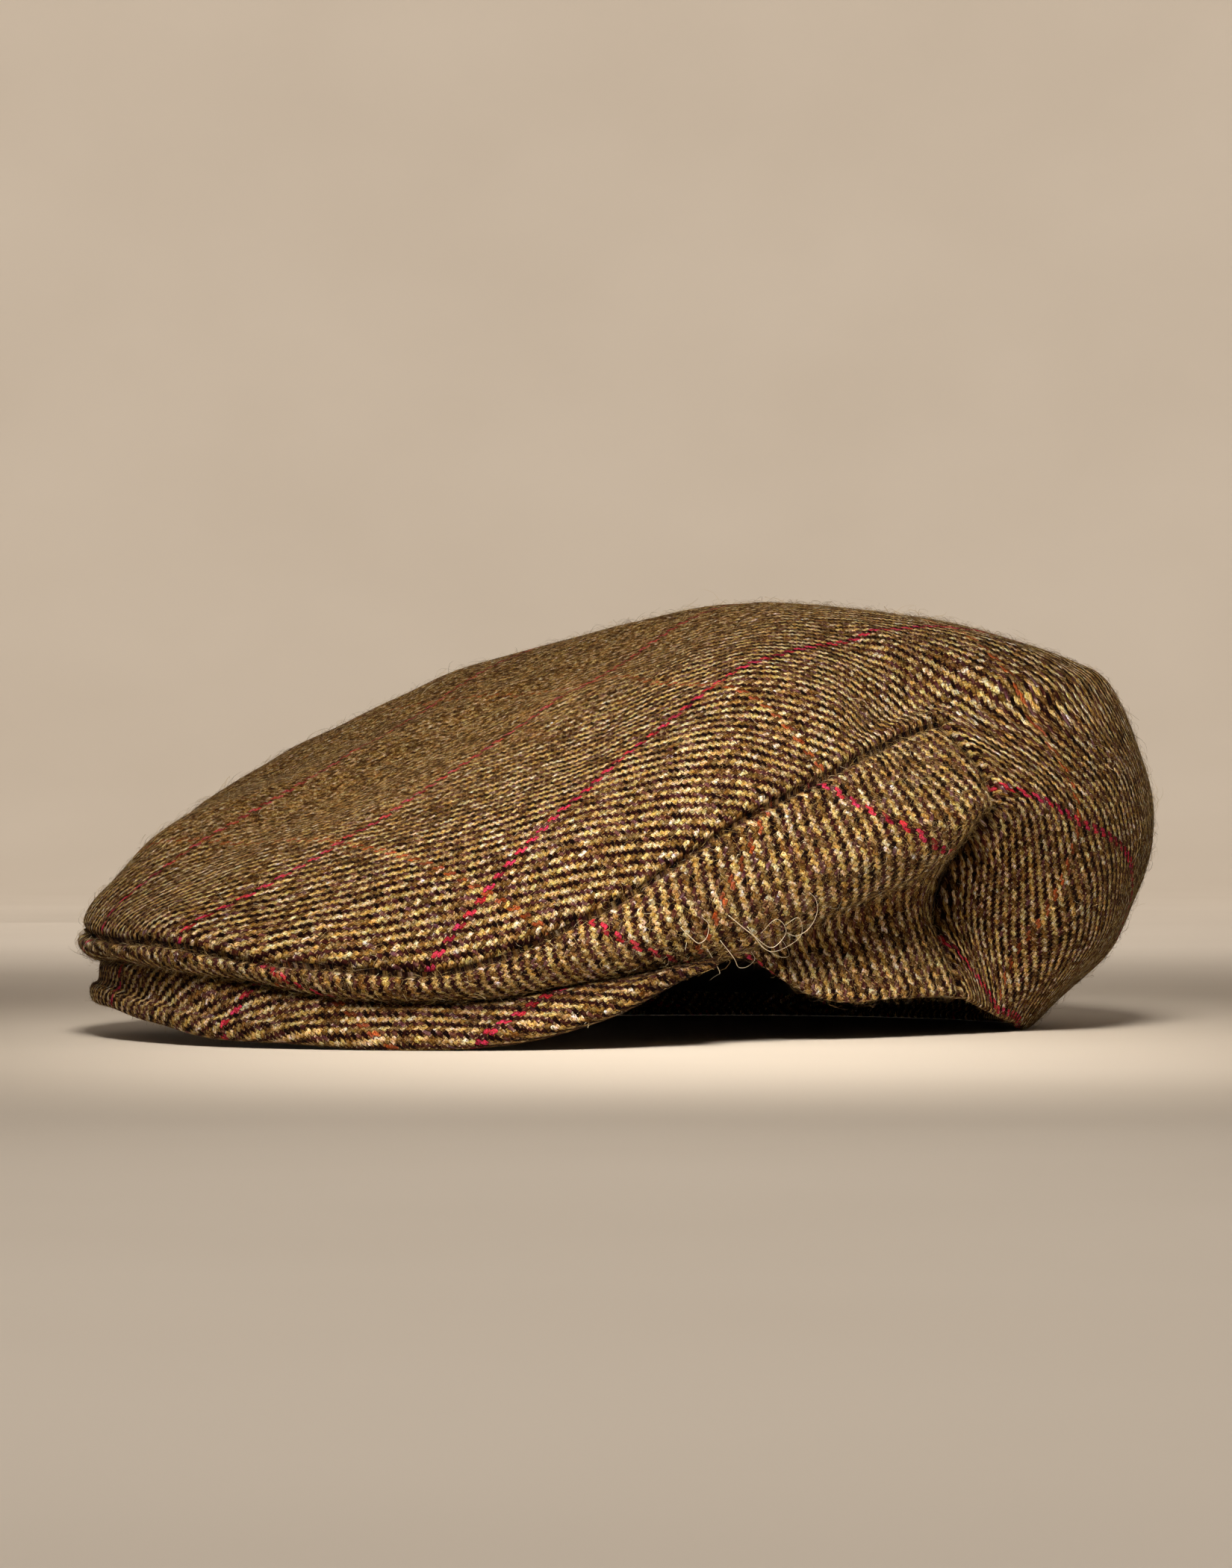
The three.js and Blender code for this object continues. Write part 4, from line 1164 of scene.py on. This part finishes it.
def fibre_finish():
    """Loose wool in the yarns' own colours, one tint to a fibre."""
    material, tree, shader = start_finish("loose_wool", 0.75)
    shader.inputs["Specular IOR Level"].default_value = 0.3
    tree.links.new(ramp(tree, mark(tree, "tint"), LOOSE_WOOL), shader.inputs["Base Color"])
    return material


def pale_finish():
    """Plain pale studio surface with the faintest mottling."""
    material, tree, shader = start_finish("pale_stage", 0.85)
    place_on = tree.nodes.new("ShaderNodeTexCoord")
    tone, _ = grain_noise(tree, place_on.outputs["Object"], 6.0, 2)
    tree.links.new(ramp(tree, tone, PALE_STAGE), shader.inputs["Base Color"])
    return material


# Studio sweep: rings of its floor, where its curve starts, the curve's radius, top of the wall, and sides
FLOOR_RINGS = np.array([0.0, 200, 500, 1000, 1600])
CURVE_START = 2000
CURVE_RADIUS = 1000
WALL_TOP = 3600
SWEEP_SIDES = 96


def studio_stage():
    """Floor and backdrop in one sweep: a flat disc that curves up into a wall all round."""
    share = np.linspace(0, math.pi / 2, 16)
    curve = CURVE_START + CURVE_RADIUS * np.sin(share)
    climb = CURVE_RADIUS - CURVE_RADIUS * np.cos(share)
    radius = np.concatenate([FLOOR_RINGS, curve, [CURVE_START + CURVE_RADIUS]])
    height = np.concatenate([0 * FLOOR_RINGS, climb, [WALL_TOP]])
    turn = np.linspace(0, 360, SWEEP_SIDES + 1)[:-1]
    points = place(turn[None, :] + 0 * radius[:, None], radius[:, None], height[:, None])
    points[..., 1] -= AXIS_Y
    number = np.arange(len(radius) * SWEEP_SIDES).reshape(-1, SWEEP_SIDES)
    ahead = np.roll(number, -1, axis=1)
    quads = np.stack([number[:-1], number[1:], ahead[1:], ahead[:-1]], axis=-1).reshape(-1, 4)
    stage = make_mesh("studio_sweep", points.reshape(-1, 3), quads.tolist())
    stage.data.materials.append(pale_finish())


# The camera's side of the cap, and the direction to the right of the view
VIEW_TURN = math.radians(54)
TO_CAMERA = np.array([math.sin(VIEW_TURN), -math.cos(VIEW_TURN), 0.0])
TO_RIGHT = np.array([math.cos(VIEW_TURN), math.sin(VIEW_TURN), 0.0])
UP = np.array([0.0, 0.0, 1.0])
# Camera, in metres: centre of its view, distance and height, then how far left and how high it looks; lens
# and sensor in millimetres
VIEW_CENTRE = np.array([0.0, -0.00125, 0.0])
CAMERA_DISTANCE = 1.4
CAMERA_HEIGHT = 0.056
LOOK_LEFT = 0.00036
LOOK_HEIGHT = 0.0598
LENS = 132
SENSOR = 36
# Colours of the lights and of the world, the world's strength, and the middle of the cap
KEY_WHITE = (1.0, 0.92, 0.81)
SOFT_WHITE = (1.0, 0.94, 0.86)
BACKDROP_WHITE = (1.0, 0.93, 0.84)
WORLD_WHITE = (1.0, 0.92, 0.82, 1)
WORLD_STRENGTH = 0.08
CAP_MIDDLE = (0, 0, 0.05)
# Lights: name, place, size in metres, watts, colour, target and degrees of spread. Places and targets are
# metres towards the camera, to the right of the view and up
LIGHTS = (
    ("key_light", (0.57, 0.0, 0.48), 0.24, 0.50, KEY_WHITE, (0.09, 0.012, 0.04), 34),
    ("top_light", (0.3, -0.2, 2.0), 1.2, 1.2, SOFT_WHITE, CAP_MIDDLE, 180),
    ("rear_fill", (-1.1, -0.2, 0.4), 0.9, 0.35, SOFT_WHITE, CAP_MIDDLE, 180),
    ("floor_light", (0.85, 0.0, 1.2), 0.5, 1.2, SOFT_WHITE, (0.86, 0, 0), 62),
    ("apron_light", (0.41, 0.0, 1.2), 0.3, 0.12, SOFT_WHITE, (0.41, 0, 0), 28),
    ("rear_floor_light", (-0.75, 0.0, 1.2), 0.3, 0.32, SOFT_WHITE, (-0.75, 0, 0), 44),
    ("backdrop_light_left", (-1.0, -0.9, 1.6), 1.2, 20, BACKDROP_WHITE, (-3.0, -1.0, 0.5), 180),
    ("backdrop_light_right", (-1.0, 0.9, 1.6), 1.2, 20, BACKDROP_WHITE, (-3.0, 1.0, 0.5), 180),
)


def aim(thing, position, target):
    """Puts a camera or light at a position, looking at a target."""
    thing.location = tuple(position)
    thing.rotation_euler = (Vector(target) - Vector(position)).to_track_quat("-Z", "Y").to_euler()


def studio_camera():
    """Camera level with the cap's middle, to the wearer's front left."""
    camera = bpy.data.cameras.new("studio_camera")
    camera.lens = LENS
    camera.sensor_width = SENSOR
    camera.clip_start = 0.05
    view = bpy.data.objects.new("studio_camera", camera)
    bpy.context.scene.collection.objects.link(view)
    position = VIEW_CENTRE + TO_CAMERA * CAMERA_DISTANCE + UP * CAMERA_HEIGHT
    target = VIEW_CENTRE - TO_RIGHT * LOOK_LEFT + UP * LOOK_HEIGHT
    aim(view, position, target)
    bpy.context.scene.camera = view


def in_studio(spot):
    """Point at a distance towards the camera, to the right of the view and up."""
    return TO_CAMERA * spot[0] + TO_RIGHT * spot[1] + UP * spot[2]


def soft_light(name, spot, size, power, colour, target, spread):
    """Square soft light that the camera does not see, aimed at a target."""
    light = bpy.data.lights.new(name, "AREA")
    light.size = size
    light.energy = power
    light.color = colour
    light.spread = math.radians(spread)
    lamp = bpy.data.objects.new(name, light)
    bpy.context.scene.collection.objects.link(lamp)
    lamp.visible_camera = False
    aim(lamp, in_studio(spot), in_studio(target))


def studio_light():
    """Near key light of narrow spread, a weak broad top light, a faint low fill from behind, lights that even
    out the floor, two that only brighten the backdrop, and a dim world."""
    for light in LIGHTS:
        soft_light(*light)
    world = bpy.data.worlds.new("studio_world")
    world.use_nodes = True
    background = world.node_tree.nodes["Background"]
    background.inputs["Color"].default_value = WORLD_WHITE
    background.inputs["Strength"].default_value = WORLD_STRENGTH
    bpy.context.scene.world = world
    bpy.context.scene.view_settings.view_transform = "Standard"


def dress(piece, finish, slot, *nodes):
    """Gives a piece its finish, lets it ride, and hides the solid that it stands for. The slot is not used.
    """
    piece.data.materials.append(finish)
    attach(piece, "root")
    if nodes:
        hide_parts(*nodes)


def add_panel(made, slot, node):
    """Dresses a panel in tweed; returns its grid and the cells that show."""
    piece, points, shown = made
    dress(piece, tweed, slot, node)
    return points, shown


def add_wool(name, panel, slot, count, seed, wrap, reach):
    """Scatters loose wool over a panel."""
    dress(wool_fibres(name, *panel, count, seed, wrap, reach), wool, slot)


studio_camera()
studio_light()
studio_stage()

tweed = tweed_finish()
wool = fibre_finish()

top = add_panel(crown_top_piece(), "top_tweed", "crown_top")
left = add_panel(crown_side_piece("crown_side_left_tweed", 1), "left_tweed", "crown_side_left")
right = add_panel(crown_side_piece("crown_side_right_tweed", -1), "right_tweed", "crown_side_right")
peak = add_panel(peak_piece(), "peak_tweed", "peak")
dress(lining_piece(), satin_finish(), "lining_satin", "lining")

# Loose wool: fibres, seed, whether the panel runs all round, and the fibres' length
add_wool("crown_top_wool", top, "top_tweed", 19000, 11, True, 2.4)
add_wool("crown_side_left_wool", left, "left_tweed", 14000, 12, False, 2.2)
add_wool("crown_side_right_wool", right, "right_tweed", 9000, 13, False, 2.2)
dress(stray_hairs(), wool, "left_tweed")
add_wool("peak_wool", peak, "peak_tweed", 9000, 14, False, 2.0)
